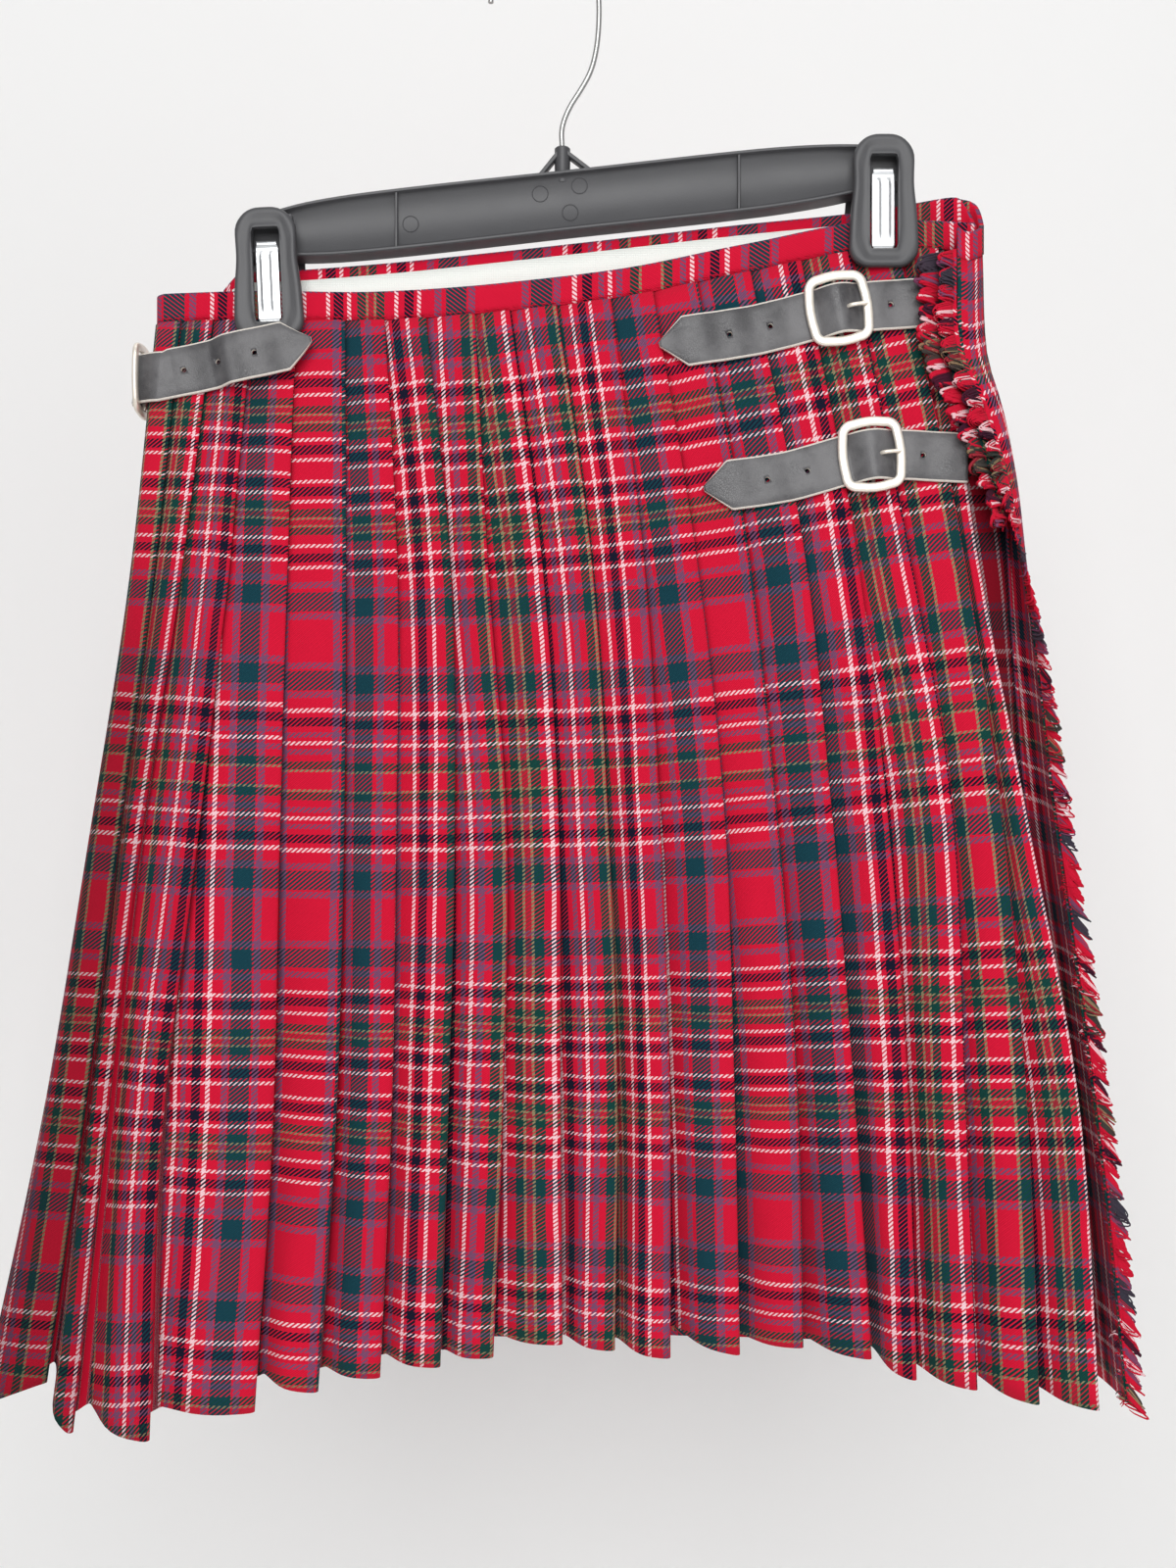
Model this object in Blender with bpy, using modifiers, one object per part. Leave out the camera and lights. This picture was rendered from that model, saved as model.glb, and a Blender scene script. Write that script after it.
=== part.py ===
"""Scottish kilt on a clip hanger, seen from its pleated back.

Metres, +Z up. X runs to the right of someone who looks at the pleats, and +Y runs away from them,
towards the two aprons. The origin is the inside of the hook's crown, where the hanger rests on a rail.
Tables hold millimetres, and their names end in _MM.
"""

import math

import bmesh
import bpy
from mathutils import Matrix, Vector

MM = 0.001

# Cloth. A height on a panel is a share t, 0 at the waistband's seam and 1 at the hem.
WALL = 0.0012
SEAM_GAP = 0.0003
BAND_WALL = 0.0020
BAND_HEIGHT = 0.0120
APRON_STEP = 0.0030  # between the middles of two aprons that lie on each other
STATIONS = 5  # the short tables run from waist to hem in even shares of t
ROWS_T = (0.0, 0.09, 0.14, 0.20, 0.27, 0.36, 0.50, 0.66, 0.83, 1.0)  # the rows of every panel

# Top edge of the band at even steps of x: it hangs from the clips, and the pleated side sags more.
RIM_LEFT = -0.175
RIM_RIGHT = 0.190
RIM_NEAR_MM = (-152, -150.4, -151, -149, -143, -131, -120.5, -121)
RIM_FAR_MM = (-139, -139.5, -136, -130.7, -124.9, -119, -113.5, -104.5)

# Depth (y) of the near and the far side at the middle, and how far both curve forward at the sides.
NEAR_MM = (-3.5, -7, -9, -11, -13)
FAR_MM = (3.0, 5, 7, 9, 10)
CURL_NEAR_MM = (0, 8, 21, 36, 52)
CURL_FAR_MM = (0, 4, 11, 19, 28)
SLACK = 0.008
SLACK_X = 0.014
SLACK_REACH = 0.112
MIDDLE_X = 0.009
HALF_WIDTH = 0.240
# Outermost x of the left and the right side, and how far each side rounds out past its corner.
LEFT_MM = (-165, -175, -189, -203, -222)
RIGHT_MM = (182, 189, 201, 213, 218)
ROUND_LEFT_MM = (3, 4, 6, 10, 18)
ROUND_RIGHT_MM = (3, 4, 6, 8, 9)

# Knife pleats from left to right. x of each fold at the five heights, the z of its corner at the hem,
# how much higher the tucked start of its face hangs, and how far its fold stands out at the hem.
PLEATS_MM = (
    # waist, upper, middle, lower, hem, hem_z, tuck, stand
    (-157, -166, -177, -186, -196, -600, 2, 3),
    (-143, -155, -169, -178, -185, -619, 6, 9),
    (-126, -135, -146, -157, -158, -627, 6, 6),
    (-107, -110, -112, -113, -118, -620, 2, 5),
    (-86, -85, -85, -87, -93, -614, 6, 4),
    (-69, -63, -63, -64, -68, -610, 3, 3),
    (-51, -40, -38, -40, -43, -606, 3, 4),
    (-30, -24, -16, -17, -21, -603, 1, 3),
    (-15, -1, 6, 7, 8, -598, 2, 3),
    (5, 20, 27, 31, 30, -600, 1, 4),
    (28, 42, 49, 53, 53, -601, 2, 9),
    (46, 64, 76, 80, 82, -600, 8, 5),
    (65, 86, 98, 106, 108, -596, 1, 4),
    (88, 109, 121, 129, 135, -598, 2, 6),
    (110, 131, 144, 151, 152, -604, 2, 9),
    (131, 153, 171, 174, 176, -607, 2, 5),
    (152, 176, 191, 198, 199, -610, 3, 5),
    (169, 182, 201, 218, 221, -610, 4, 3),
)
LAYER_MM = (1.8, 1.9, 2.4, 3.2, 4.0)  # between the layers of a pleat
TUCK_SHARE = 0.45  # of a pleat's width that its fold doubles back
FIRST_SPARE = 0.004  # width of the first pleat past the left corner
LEFT_TURN = 7
HEM_LEFT = -0.600
HEM_LEFT_DIP = 0.016

# Aprons. The outer one's edge is held over the pleats at the waist and hangs free at the side below.
# Each table has a value for each of the rows: x of the edge, plan angle of the cloth there, how far out it is
# from the pleats' front, and the reach of the side's curve at both ends.
EDGE_MM = (176, 177, 187, 195, 201, 207, 213, 220.5, 227, 231)
EDGE_ANGLE = (180, 180, 183, 200, 226, 250, 263, 267, 269, 270)
EDGE_OUT_MM = (6.2, 6.2, 6.2, 5.6, 4.2, 2, 0, 0, 0, 0)
EDGE_REACH_MM = (15, 15, 13, 13, 13, 14, 17, 20, 23, 26)
CORNER_REACH_MM = (15, 15, 18, 17, 16, 14, 14, 15, 17, 18)
TURN = 12
UNDER_TURN = 6  # of those, the steps that the inner apron goes round before the pleats begin
UNDER_EDGE_MM = (-140, -148, -160, -172, -190)
HEM_FAR = -0.606
HEM_EDGE = -0.606
HEM_INNER = -0.604
HEM_LIFT = 0.003
LINING_ROWS = 6
FAR_STEPS = 16
LINING_BELOW_RIM = 0.005
LINING_INSET = 0.0019

# Fringe: a narrow strip along the edge with one tooth for every loop of yarn. Its direction turns from
# leftwards over the pleats at the waist to outwards and down below.
FRINGE_ROWS = (
    # name, loops, start past the apron's edge, inwards from the apron, strip width, tooth length, lowest t
    ("fringe_edge", 80, 0.0010, 0.0, 0.0022, 0.0100, 0.985),
    ("fringe_strip", 26, -0.0020, 0.0022, 0.0115, 0.0110, 0.24),
)
FRINGE_TURN = ((0, 0), (0.22, 0), (0.5, 24), (1, 34))  # degrees that the loops turn outwards, by t
FRINGE_DROOP = ((0, 0.10), (0.10, 0.16), (0.22, 0.45), (0.4, 0.75), (1, 0.85))
FRINGE_WALL = 0.0010
FRINGE_FILL = 0.62  # share of the strip that the loops take

# Straps of leather: the line of their middle, (x, z), from the root to the tip, and the holes' x.
STRAP_WALL = 0.0020
STRAP_HALF = 0.0108
STRAP_POINT = 0.0110
STRAP_PACE = 0.0085  # between its stations, which are closer at the buckle
LEATHER_GAP = 0.0003
HOLE_RADIUS = 0.0012
STRAPS = (
    ("strap_right_upper", ((172, -156), (126, -160), (87, -169.5), (49, -176)), 125.5, (148, 96.5, 79)),
    ("strap_right_lower", ((180, -224), (139, -223), (102, -232), (68, -237)), 139.0, (161, 112, 95)),
)
STRAP_LEFT_TAIL = ((-167, -188.5), (-131, -181), (-108, -176), (-99, -173.5))
STRAP_LEFT_HOLES = (-123, -139, -154)
STRAP_LEFT_ROUND = 12
STRAP_LEFT_END_X = -0.146  # where it ends on the outer apron
CLIP_LIFT = 0.0048  # the left strap's tail lies over the end of the clip
CLIP_LIFT_RUN = (-0.142, -0.134)
BULGE = 0.0042  # the leather rises over the buckle's centre bar
SIDE_BULGE = 0.0040
BUCKLE_HALF_WIDE = 0.0115
BUCKLE_HALF_TALL = 0.0132
BUCKLE_CORNER = 0.0045
BUCKLE_WIRE = 0.0016
BUCKLE_OUT = STRAP_WALL + BUCKLE_WIRE + 3 * LEATHER_GAP
PRONG_RADIUS = 0.0008

# Hanger. Its bar leans, and the two clips hang from the bar's ends.
BAR_SLOPE = math.tan(math.radians(6.3))
BAR_CENTRE_X = 0.0135
BAR_CENTRE_Z = -0.1106
BAR_SECTIONS = (
    # x, height of the bar
    (-0.1270, 0.0150),
    (-0.1030, 0.0232),
    (-0.0700, 0.0262),
    (0.0135, 0.0262),
    (0.0900, 0.0262),
    (0.1230, 0.0232),
    (0.1560, 0.0150),
)
BAR_HALF_DEEP = 0.0058
BAR_HALF_WEB = 0.0012
BAR_FLANGE = 0.0026
BAR_RIBS = (-0.0640, 0.0838)
NECK_X = 0.0076
NECK_HALF = 0.0034
NECK_TOP = -0.0864
NECK_FEET = (-0.0030, 0.0206)
STRUT_THICK = 0.0022
STRUT_DEEP = 0.0050
WIRE_RADIUS = 0.0012
CROWN_RADIUS = 0.0235
HOOK_STEM_MM = ((7.6, -94), (7.5, -86), (7.0, -78), (10.4, -69),
                (15.8, -61), (20.2, -53), (22.6, -43), (23.5, -32))
HOOK_BORE = 0.0016
CLIPS = (
    # name, x of the middle, top
    ("clip_left", -0.1172, -0.1160),
    ("clip_right", 0.1452, -0.0848),
)
CLIP_TALL = 0.0566
CLIP_HALF = 0.0148
CLIP_TOP_HALF = 0.0126
CLIP_CORNER = 0.0070
FRONT_JAW = (-0.0126, -0.0094)
BACK_JAW = (0.0102, 0.0130)
PAD_NEAR = -0.0067
PAD_FAR = 0.0074
PAD_TALL = 0.0080
PAD_BELOW_RIM = 0.0015
PAD_INNER = 0.0078
PAD_OUTER = 0.0125
CHEEK_X = 0.0100  # each jaw has two cheeks that bear on the bar's flanges
CHEEK_HALF = 0.0016
WINDOW_HALF = 0.0066
WINDOW_TALL = 0.0400
WINDOW_DROP = 0.0090
SPRING_HALF = 0.0050
SPRING_DROP = 0.0140
SPRING_END = 0.0520
SPRING_WALL = 0.0007

COLOURS = {
    "tartan": ((0.62, 0.02, 0.05), 0.90, 0.0),
    "cotton": ((0.80, 0.76, 0.66), 0.90, 0.0),
    "yarn": ((0.60, 0.03, 0.07), 0.95, 0.0),
    "leather": ((0.06, 0.06, 0.065), 0.50, 0.0),
    "nickel": ((0.80, 0.77, 0.70), 0.30, 1.0),
    "steel": ((0.75, 0.76, 0.78), 0.25, 1.0),
    "plastic": ((0.05, 0.05, 0.055), 0.45, 0.0),
}


# ---------------------------------------------------------------- small helpers


def clear_scene():
    for obj in list(bpy.data.objects):
        bpy.data.objects.remove(obj, do_unlink=True)


def collection(name):
    made = bpy.data.collections.new(name)
    bpy.context.scene.collection.children.link(made)
    return made


def material(name):
    found = bpy.data.materials.get(name)
    if found:
        return found
    colour, roughness, metallic = COLOURS[name]
    made = bpy.data.materials.new(name)
    made.use_nodes = True
    shader = made.node_tree.nodes["Principled BSDF"]
    shader.inputs["Base Color"].default_value = (*colour, 1.0)
    shader.inputs["Roughness"].default_value = roughness
    shader.inputs["Metallic"].default_value = metallic
    return made


def object_from_bmesh(bm, name, home, finish, smooth=False):
    bmesh.ops.recalc_face_normals(bm, faces=bm.faces)
    mesh = bpy.data.meshes.new(name)
    bm.to_mesh(mesh)
    bm.free()
    if smooth:
        mesh.shade_smooth()
    made = bpy.data.objects.new(name, mesh)
    made.data.materials.append(material(finish))
    home.objects.link(made)
    return made


def boolean(obj, other, operation):
    cut = obj.modifiers.new(operation.lower(), "BOOLEAN")
    cut.operation = operation
    cut.solver = "EXACT"
    cut.object = other


def bevel(obj, width, segments=2):
    rounded = obj.modifiers.new("bevel", "BEVEL")
    rounded.width = width
    rounded.segments = segments
    rounded.limit_method = "ANGLE"
    rounded.angle_limit = math.radians(40)


def as_cutter(obj, home):
    for old in obj.users_collection:
        old.objects.unlink(obj)
    home.objects.link(obj)
    obj.hide_render = True
    obj.display_type = "WIRE"


def cubic(p0, p1, p2, p3, s):
    """Catmull-Rom between p1 and p2."""
    square, cube = 2 * p0 - 5 * p1 + 4 * p2 - p3, 3 * p1 - p0 - 3 * p2 + p3
    return 0.5 * (2 * p1 + (p2 - p0) * s + square * s * s + cube * s**3)


def along(values, t):
    """A value that runs smoothly through evenly spaced ones, t from 0 to 1."""
    place = min(max(t, 0.0), 1.0) * (len(values) - 1)
    i = min(int(place), len(values) - 2)
    before = values[i - 1] if i else 2 * values[0] - values[1]
    after = values[i + 2] if i + 2 < len(values) else 2 * values[-1] - values[-2]
    return cubic(before, values[i], values[i + 1], after, place - i)


def curve_at(points, x):
    """The second value at x, on straight lines through (x, value) points."""
    for (x0, z0), (x1, z1) in zip(points, points[1:]):
        if x <= x1 or (x1, z1) == points[-1]:
            s = min(max((x - x0) / (x1 - x0), 0.0), 1.0)
            return z0 + (z1 - z0) * s


# ---------------------------------------------------------------- the garment's surface


def half_way(x):
    return (x - MIDDLE_X) / HALF_WIDTH


def slack(x, t):
    """How far the pleated side bellies out between the clips, most at the waist."""
    s = min(abs(x - SLACK_X) / SLACK_REACH, 1.0)
    return SLACK * math.cos(math.pi / 2 * s) ** 2 * (1 - t) ** 2


def near_y(x, t):
    return (along(NEAR_MM, t) - along(CURL_NEAR_MM, t) * half_way(x) ** 2) * MM - slack(x, t)


def far_y(x, t):
    return (along(FAR_MM, t) - along(CURL_FAR_MM, t) * half_way(x) ** 2) * MM


def rim_near(x):
    return along(RIM_NEAR_MM, (x - RIM_LEFT) / (RIM_RIGHT - RIM_LEFT)) * MM


def rim_far(x):
    return along(RIM_FAR_MM, (x - RIM_LEFT) / (RIM_RIGHT - RIM_LEFT)) * MM


def side_point(side, angle, t, out):
    """(x, y, share) on the rounded side: angle 0 is the near corner, pi the far one, and out moves outwards."""
    corner = corner_x(side, t)
    bulge = along(ROUND_LEFT_MM if side < 0 else ROUND_RIGHT_MM, t) * MM
    near = near_y(corner, t)
    far = far_y(corner, t)
    half = (far - near) / 2
    x = corner + side * (bulge + out) * math.sin(angle)
    y = (near + far) / 2 - (half + out) * math.cos(angle)
    return x, y


def corner_x(side, t):
    if side < 0:
        return (along(LEFT_MM, t) + along(ROUND_LEFT_MM, t)) * MM
    return (along(RIGHT_MM, t) - along(ROUND_RIGHT_MM, t)) * MM


def far_share(angle):
    """0 on the near side, 1 on the far side, eased round the side."""
    return (1 - math.cos(angle)) / 2


# ---------------------------------------------------------------- walls


def offset_line(points, distance):
    """The line of (x, y) points moved to its left by distance, with mitred corners."""
    moved = []
    last = len(points) - 1
    for i, point in enumerate(points):
        here = Vector(point)
        before = (here - Vector(points[i - 1])).normalized() if i else None
        after = (Vector(points[i + 1]) - here).normalized() if i < last else None
        before = before or after
        after = after or before
        sum_of = Vector((-before.y - after.y, before.x + after.x))
        bisector = sum_of.normalized()
        reach = distance / max(bisector.dot(Vector((-before.y, before.x))), 0.5)
        moved.append(here + bisector * reach)
    return moved


def wall(name, rows, thickness, home, finish):
    """A closed wall. Each row is a list of (x, y, z) along the cloth's middle, from the top row to the hem."""
    bm = bmesh.new()
    outer = []
    inner = []
    for row in rows:
        flat = [(p[0], p[1]) for p in row]
        left = offset_line(flat, thickness / 2)
        right = offset_line(flat, -thickness / 2)
        outer.append([bm.verts.new((a.x, a.y, p[2])) for a, p in zip(left, row)])
        inner.append([bm.verts.new((a.x, a.y, p[2])) for a, p in zip(right, row)])
    count = len(rows[0])
    for i in range(len(rows) - 1):
        for j in range(count - 1):
            corners = ((i, j), (i, j + 1), (i + 1, j + 1), (i + 1, j))
            across = (outer[i][j].co - outer[i + 1][j + 1].co).length
            other = (outer[i][j + 1].co - outer[i + 1][j].co).length
            halves = ((0, 1, 2), (0, 2, 3)) if across < other else ((0, 1, 3), (1, 2, 3))
            for half in halves:  # both faces split on the same diagonal, so the wall stays one thickness
                for face in (outer, inner):
                    bm.faces.new([face[corners[k][0]][corners[k][1]] for k in half])
        for j in (0, count - 1):
            bm.faces.new((outer[i][j], outer[i + 1][j], inner[i + 1][j], inner[i][j]))
    for i in (0, len(rows) - 1):
        for j in range(count - 1):
            bm.faces.new((outer[i][j], outer[i][j + 1], inner[i][j + 1], inner[i][j]))
    return object_from_bmesh(bm, name, home, finish)


# ---------------------------------------------------------------- pleated back


def pleat_column(index, t):
    return along(PLEATS_MM[index][:STATIONS], t) * MM


def pleat_points(t):
    """(x, y, z at the hem, z at the seam) along the folded cloth at share t, from left to right."""
    layer = along(LAYER_MM, t) * MM
    points = []

    def add(x, out, hem):
        points.append((x, near_y(x, t) - out, hem, rim_near(x) - BAND_HEIGHT - SEAM_GAP))

    corner = corner_x(-1, t)
    first_top = 2 * layer + PLEATS_MM[0][7] * MM * t**2
    for i in range(LEFT_TURN):  # from the seam with the over apron, round the left side, to the first fold
        angle = math.pi * (1 - i / LEFT_TURN)
        share = far_share(angle)
        x, y = side_point(-1, angle, t, first_top * (1 - share) + APRON_STEP * share)
        seam = rim_near(x) * (1 - share) + rim_far(x) * share - BAND_HEIGHT - SEAM_GAP
        points.append((x, y, HEM_LEFT - HEM_LEFT_DIP * math.sin(angle), seam))
    for index, row in enumerate(PLEATS_MM):
        fold = pleat_column(index, t)
        hem = row[5] * MM
        start_hem = (PLEATS_MM[index - 1][5] if index else row[5]) * MM
        start_hem = max(start_hem, hem) + row[6] * MM
        stand = row[7] * MM * t**2
        top = 2 * layer + stand
        width = fold - (pleat_column(index - 1, t) if index else corner - FIRST_SPARE)
        tuck = width * TUCK_SHARE
        if index:
            add(fold - width + 0.0004 + PLEATS_MM[index - 1][7] * MM * t**2 * 0.14, 0.0002, start_hem)
            add(fold - tuck - layer * 0.6, top * 0.96, (start_hem + 2 * hem) / 3)
        add(fold - layer / 2, top, hem)
        add(fold, top - layer / 2, hem)
        add(fold - layer / 2, top - layer, hem)
        add(fold - tuck * 0.5, layer * 1.1 + stand * 0.2, hem + 0.002)
        add(fold - tuck + layer / 2, layer, hem + 0.003)
        add(fold - tuck, layer / 2, hem + 0.003)
        add(fold - tuck + layer / 2, 0, hem + 0.003)
    end, before = (Vector(p) for p in reversed(under_turn(t)[-2:]))
    ahead = (end - before).normalized()
    inwards = Vector((ahead.y, -ahead.x))
    seam = rim_near(end.x) - BAND_HEIGHT - SEAM_GAP
    for gap in (0.0055, WALL / 2 + SEAM_GAP * 3):  # its end stands against the inner apron's inside
        place = end - ahead * 0.0008 + inwards * gap
        points.append((place.x, place.y, HEM_INNER, seam))
    return points


def pleated_back(home):
    rows = []
    for t in ROWS_T:
        rows.append([(x, y, seam + (hem - seam) * t) for x, y, hem, seam in pleat_points(t)])
    return wall("pleated_back", rows, WALL, home, "tartan")


# ---------------------------------------------------------------- aprons, band and lining


def far_run(t, left, right, step, count):
    """(x, y, 1) along the far side from left to right, step behind the inner apron."""
    return [
        (left + (right - left) * i / count, far_y(left + (right - left) * i / count, t) + step, 1.0)
        for i in range(count + 1)
    ]


def drop(points, t, hem_near, hem_far):
    """Gives each (x, y, far share) its z at share t."""
    placed = []
    for x, y, share in points:
        seam = rim_near(x) * (1 - share) + rim_far(x) * share - BAND_HEIGHT - SEAM_GAP
        hem = hem_near * (1 - share) + hem_far * share
        placed.append((x, y, seam + (hem - seam) * t))
    return placed


def at_share(values, t):
    return curve_at(list(zip(ROWS_T, values)), t)


def plan_way(degrees):
    return Vector((math.cos(math.radians(degrees)), math.sin(math.radians(degrees))))


def apron_end(t):
    """Plan points round the right side, from the far corner to the outer apron's edge, on one smooth curve."""
    corner = corner_x(1, t)
    edge = at_share(EDGE_MM, t) * MM
    start = Vector((corner, far_y(corner, t) + APRON_STEP))
    end = Vector((edge, near_y(edge, t) - 2 * along(LAYER_MM, t) * MM - at_share(EDGE_OUT_MM, t) * MM))
    first = start + Vector((1, 0)) * at_share(CORNER_REACH_MM, t) * MM
    last = end - plan_way(at_share(EDGE_ANGLE, t)) * at_share(EDGE_REACH_MM, t) * MM
    points = []
    for i in range(1, TURN + 1):
        s = i / TURN
        r = 1 - s
        points.append(start * r**3 + first * (3 * r * r * s) + last * (3 * r * s * s) + end * s**3)
    return points


def under_turn(t):
    """Plan points of the inner apron round the right side, a step inside the outer apron."""
    corner = corner_x(1, t)
    before = Vector((corner - 0.01, far_y(corner - 0.01, t) + APRON_STEP))
    inside = offset_line([before] + [tuple(p) for p in apron_end(t)], -APRON_STEP)
    return inside[1 : UNDER_TURN + 1]


def side_shares(points, turn):
    """(x, y, far share) for points round the right side, turn of them from the far to the near side."""
    return [(p[0], p[1], max(1 - (i + 1) / turn, 0.0)) for i, p in enumerate(points)]


def over_apron_points(t):
    left = corner_x(-1, t) + 0.0006
    return far_run(t, left, corner_x(1, t), APRON_STEP, FAR_STEPS) + side_shares(apron_end(t), TURN)


def over_apron(home):
    rows = [drop(over_apron_points(t), t, HEM_EDGE, HEM_FAR) for t in ROWS_T]
    return wall("over_apron", rows, WALL, home, "tartan")


def under_apron_points(t):
    left = along(UNDER_EDGE_MM, t) * MM
    return far_run(t, left, corner_x(1, t), 0, FAR_STEPS) + side_shares(under_turn(t), UNDER_TURN - 1)


def under_apron(home):
    rows = [drop(under_apron_points(t), t, HEM_INNER, HEM_FAR + HEM_LIFT) for t in ROWS_T]
    return wall("under_apron", rows, WALL, home, "tartan")


def lining(home):
    rows = []
    for i, t in enumerate((0.0, *ROWS_T[:LINING_ROWS])):
        left = along(UNDER_EDGE_MM, t) * MM + 0.004
        right = corner_x(1, t) - 0.006
        row = drop(far_run(t, left, right, -LINING_INSET, FAR_STEPS), t, HEM_INNER, HEM_FAR + HEM_LIFT)
        if i == 0:
            row = [(x, y, rim_far(x) - LINING_BELOW_RIM) for x, y, _ in row]
        rows.append(row)
    return wall("lining", rows, WALL * 0.7, home, "cotton")


def band_points():
    """(x, y, far share) along the waistband: free end of the inner apron, round the right side, back across
    the pleats, round the left side, along the outer apron and round the right side to the fringed edge."""
    middle = along(LAYER_MM, 0) * MM
    inner = under_apron_points(0)
    right = inner[-1][0] - 0.006
    left = corner_x(-1, 0)
    near = []
    for i in range(25):
        x = right + (left - right) * i / 24
        near.append((x, near_y(x, 0) - middle, 0.0))
    left_turn = []
    for i in range(1, 7):
        angle = math.pi * i / 7
        x, y = side_point(-1, angle, 0, middle + (APRON_STEP - middle) * i / 7)
        left_turn.append((x, y, far_share(angle)))
    outer = far_run(0, left, corner_x(1, 0), APRON_STEP, FAR_STEPS)
    return inner + near + left_turn + outer + side_shares(apron_end(0), TURN)


def waistband(home):
    points = band_points()
    rows = []
    for height in (0.0, -BAND_HEIGHT):
        rows.append([(x, y, rim_near(x) * (1 - s) + rim_far(x) * s + height) for x, y, s in points])
    return wall("waistband", rows, BAND_WALL, home, "tartan")


# ---------------------------------------------------------------- fringe


def share_at(x, z):
    seam = rim_near(x) - BAND_HEIGHT
    return min(max((seam - z) / (seam - HEM_EDGE), 0.0), 1.0)


def fringe_station(t, row):
    """Where the strip starts and the way its loops point, at share t."""
    _, _, start, inwards, _, _, _ = row
    before, end = apron_end(t)[-2:]
    seam = rim_near(end.x) - BAND_HEIGHT - SEAM_GAP
    root = Vector((end.x, end.y, seam + (HEM_EDGE - seam) * t))
    flat = plan_way(at_share(EDGE_ANGLE, t) + curve_at(FRINGE_TURN, t))
    inner = Vector((flat.y, -flat.x, 0))
    direction = Vector((flat.x, flat.y, -curve_at(FRINGE_DROOP, t))).normalized()
    return root + Vector((flat.x, flat.y, 0)) * start + inner * inwards, direction, inner * FRINGE_WALL / 2


def fringe(row, home):
    """A strip with a tooth for every loop, as one closed comb."""
    name, loops, _, _, strip, length, lowest = row
    marks = []
    for i in range(loops):
        marks += [(i + 0.5 - FRINGE_FILL / 2) / loops, (i + 0.5 + FRINGE_FILL / 2) / loops]
    stations = [fringe_station(0.004 + (lowest - 0.004) * m, row) for m in [0.0] + marks + [1.0]]
    bm = bmesh.new()
    root = []
    foot = []
    for place, direction, half in stations:
        root.append([bm.verts.new(place - half), bm.verts.new(place + half)])
        end = place + direction * strip
        foot.append([bm.verts.new(end - half), bm.verts.new(end + half)])
    last = len(stations) - 1
    for i in range(last):
        for side in (0, 1):
            bm.faces.new((root[i][side], root[i + 1][side], foot[i + 1][side], foot[i][side]))
        bm.faces.new((root[i][0], root[i + 1][0], root[i + 1][1], root[i][1]))
        if i % 2 == 0:
            bm.faces.new((foot[i][0], foot[i + 1][0], foot[i + 1][1], foot[i][1]))
            continue
        swing = 0.5 * math.sin(2.3 * i) + 0.3 * math.sin(5.1 * i)
        half = stations[i][2]
        direction = (stations[i][1] + half * 60 * swing + Vector((0, 0, -0.18 - 0.12 * swing))).normalized()
        reach = length * (1 + 0.10 * math.sin(3.7 * i))
        ends = []
        middle = (stations[i][0] + stations[i + 1][0]) / 2 + stations[i][1] * strip + direction * reach
        step = (stations[i + 1][0] - stations[i][0]) * 0.3
        for sign in (-1, 1):
            ends.append([bm.verts.new(middle + step * sign + half * 0.7 * face) for face in (-1, 1)])
        for side in (0, 1):
            bm.faces.new((foot[i][side], foot[i + 1][side], ends[1][side], ends[0][side]))
        for a, b in ((foot[i], ends[0]), (foot[i + 1], ends[1]), (ends[0], ends[1])):
            bm.faces.new((a[0], b[0], b[1], a[1]))
    for i in (0, last):
        bm.faces.new((root[i][0], foot[i][0], foot[i][1], root[i][1]))
    return object_from_bmesh(bm, name, home, "yarn")


# ---------------------------------------------------------------- straps and buckles


def front_y(x, z):
    """The pleats' outer face."""
    t = share_at(x, z)
    return near_y(x, t) - 2 * along(LAYER_MM, t) * MM - 0.009 * t * t - WALL / 2


def strap_line(points, s):
    """(x, z) at share s along a strap's middle."""
    return along([p[0] for p in points], s) * MM, along([p[1] for p in points], s) * MM


def strap_share(points, x):
    """The share s at which a strap's middle is at x, by halving."""
    low, high = 0.0, 1.0
    for _ in range(24):
        middle = (low + high) / 2
        if (strap_line(points, middle)[0] - x) * (points[-1][0] - points[0][0]) > 0:
            high = middle
        else:
            low = middle
    return (low + high) / 2


def strap_frame(points, s):
    """(x, z) of the middle at share s, and the (x, z) way across the strap."""
    x0, z0 = strap_line(points, max(s - 0.01, 0.0))
    x1, z1 = strap_line(points, min(s + 0.01, 1.0))
    ahead = Vector((x1 - x0, z1 - z0)).normalized()
    return strap_line(points, s), Vector((-ahead.y, ahead.x))


def slab(name, grid, home, finish):
    """A closed slab between two grids of points: grid[i][j] is (front, back)."""
    bm = bmesh.new()
    verts = [[[bm.verts.new(p) for p in pair] for pair in line] for line in grid]
    rows = len(verts)
    cols = len(verts[0])
    for i in range(rows - 1):
        for j in range(cols - 1):
            for side in (0, 1):
                bm.faces.new([verts[a][b][side] for a, b in ((i, j), (i + 1, j), (i + 1, j + 1), (i, j + 1))])
    for i in range(rows - 1):
        for j in (0, cols - 1):
            bm.faces.new((verts[i][j][0], verts[i + 1][j][0], verts[i + 1][j][1], verts[i][j][1]))
    for j in range(cols - 1):
        for i in (0, rows - 1):
            bm.faces.new((verts[i][j][0], verts[i][j + 1][0], verts[i][j + 1][1], verts[i][j][1]))
    return object_from_bmesh(bm, name, home, finish)


def strap_half(left):
    """Half the strap's width: full, then cut to a blunt point over the last stretch."""
    return STRAP_HALF * min(1.0, 0.08 + 0.92 * left / STRAP_POINT)


def hole_cutter(name, x, y, z, bench):
    bpy.ops.mesh.primitive_cylinder_add(vertices=10, radius=HOLE_RADIUS, depth=0.02, location=(x, y, z))
    made = bpy.context.object
    made.name = name
    made.rotation_euler = (math.pi / 2, 0, 0)
    as_cutter(made, bench)
    return made


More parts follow.
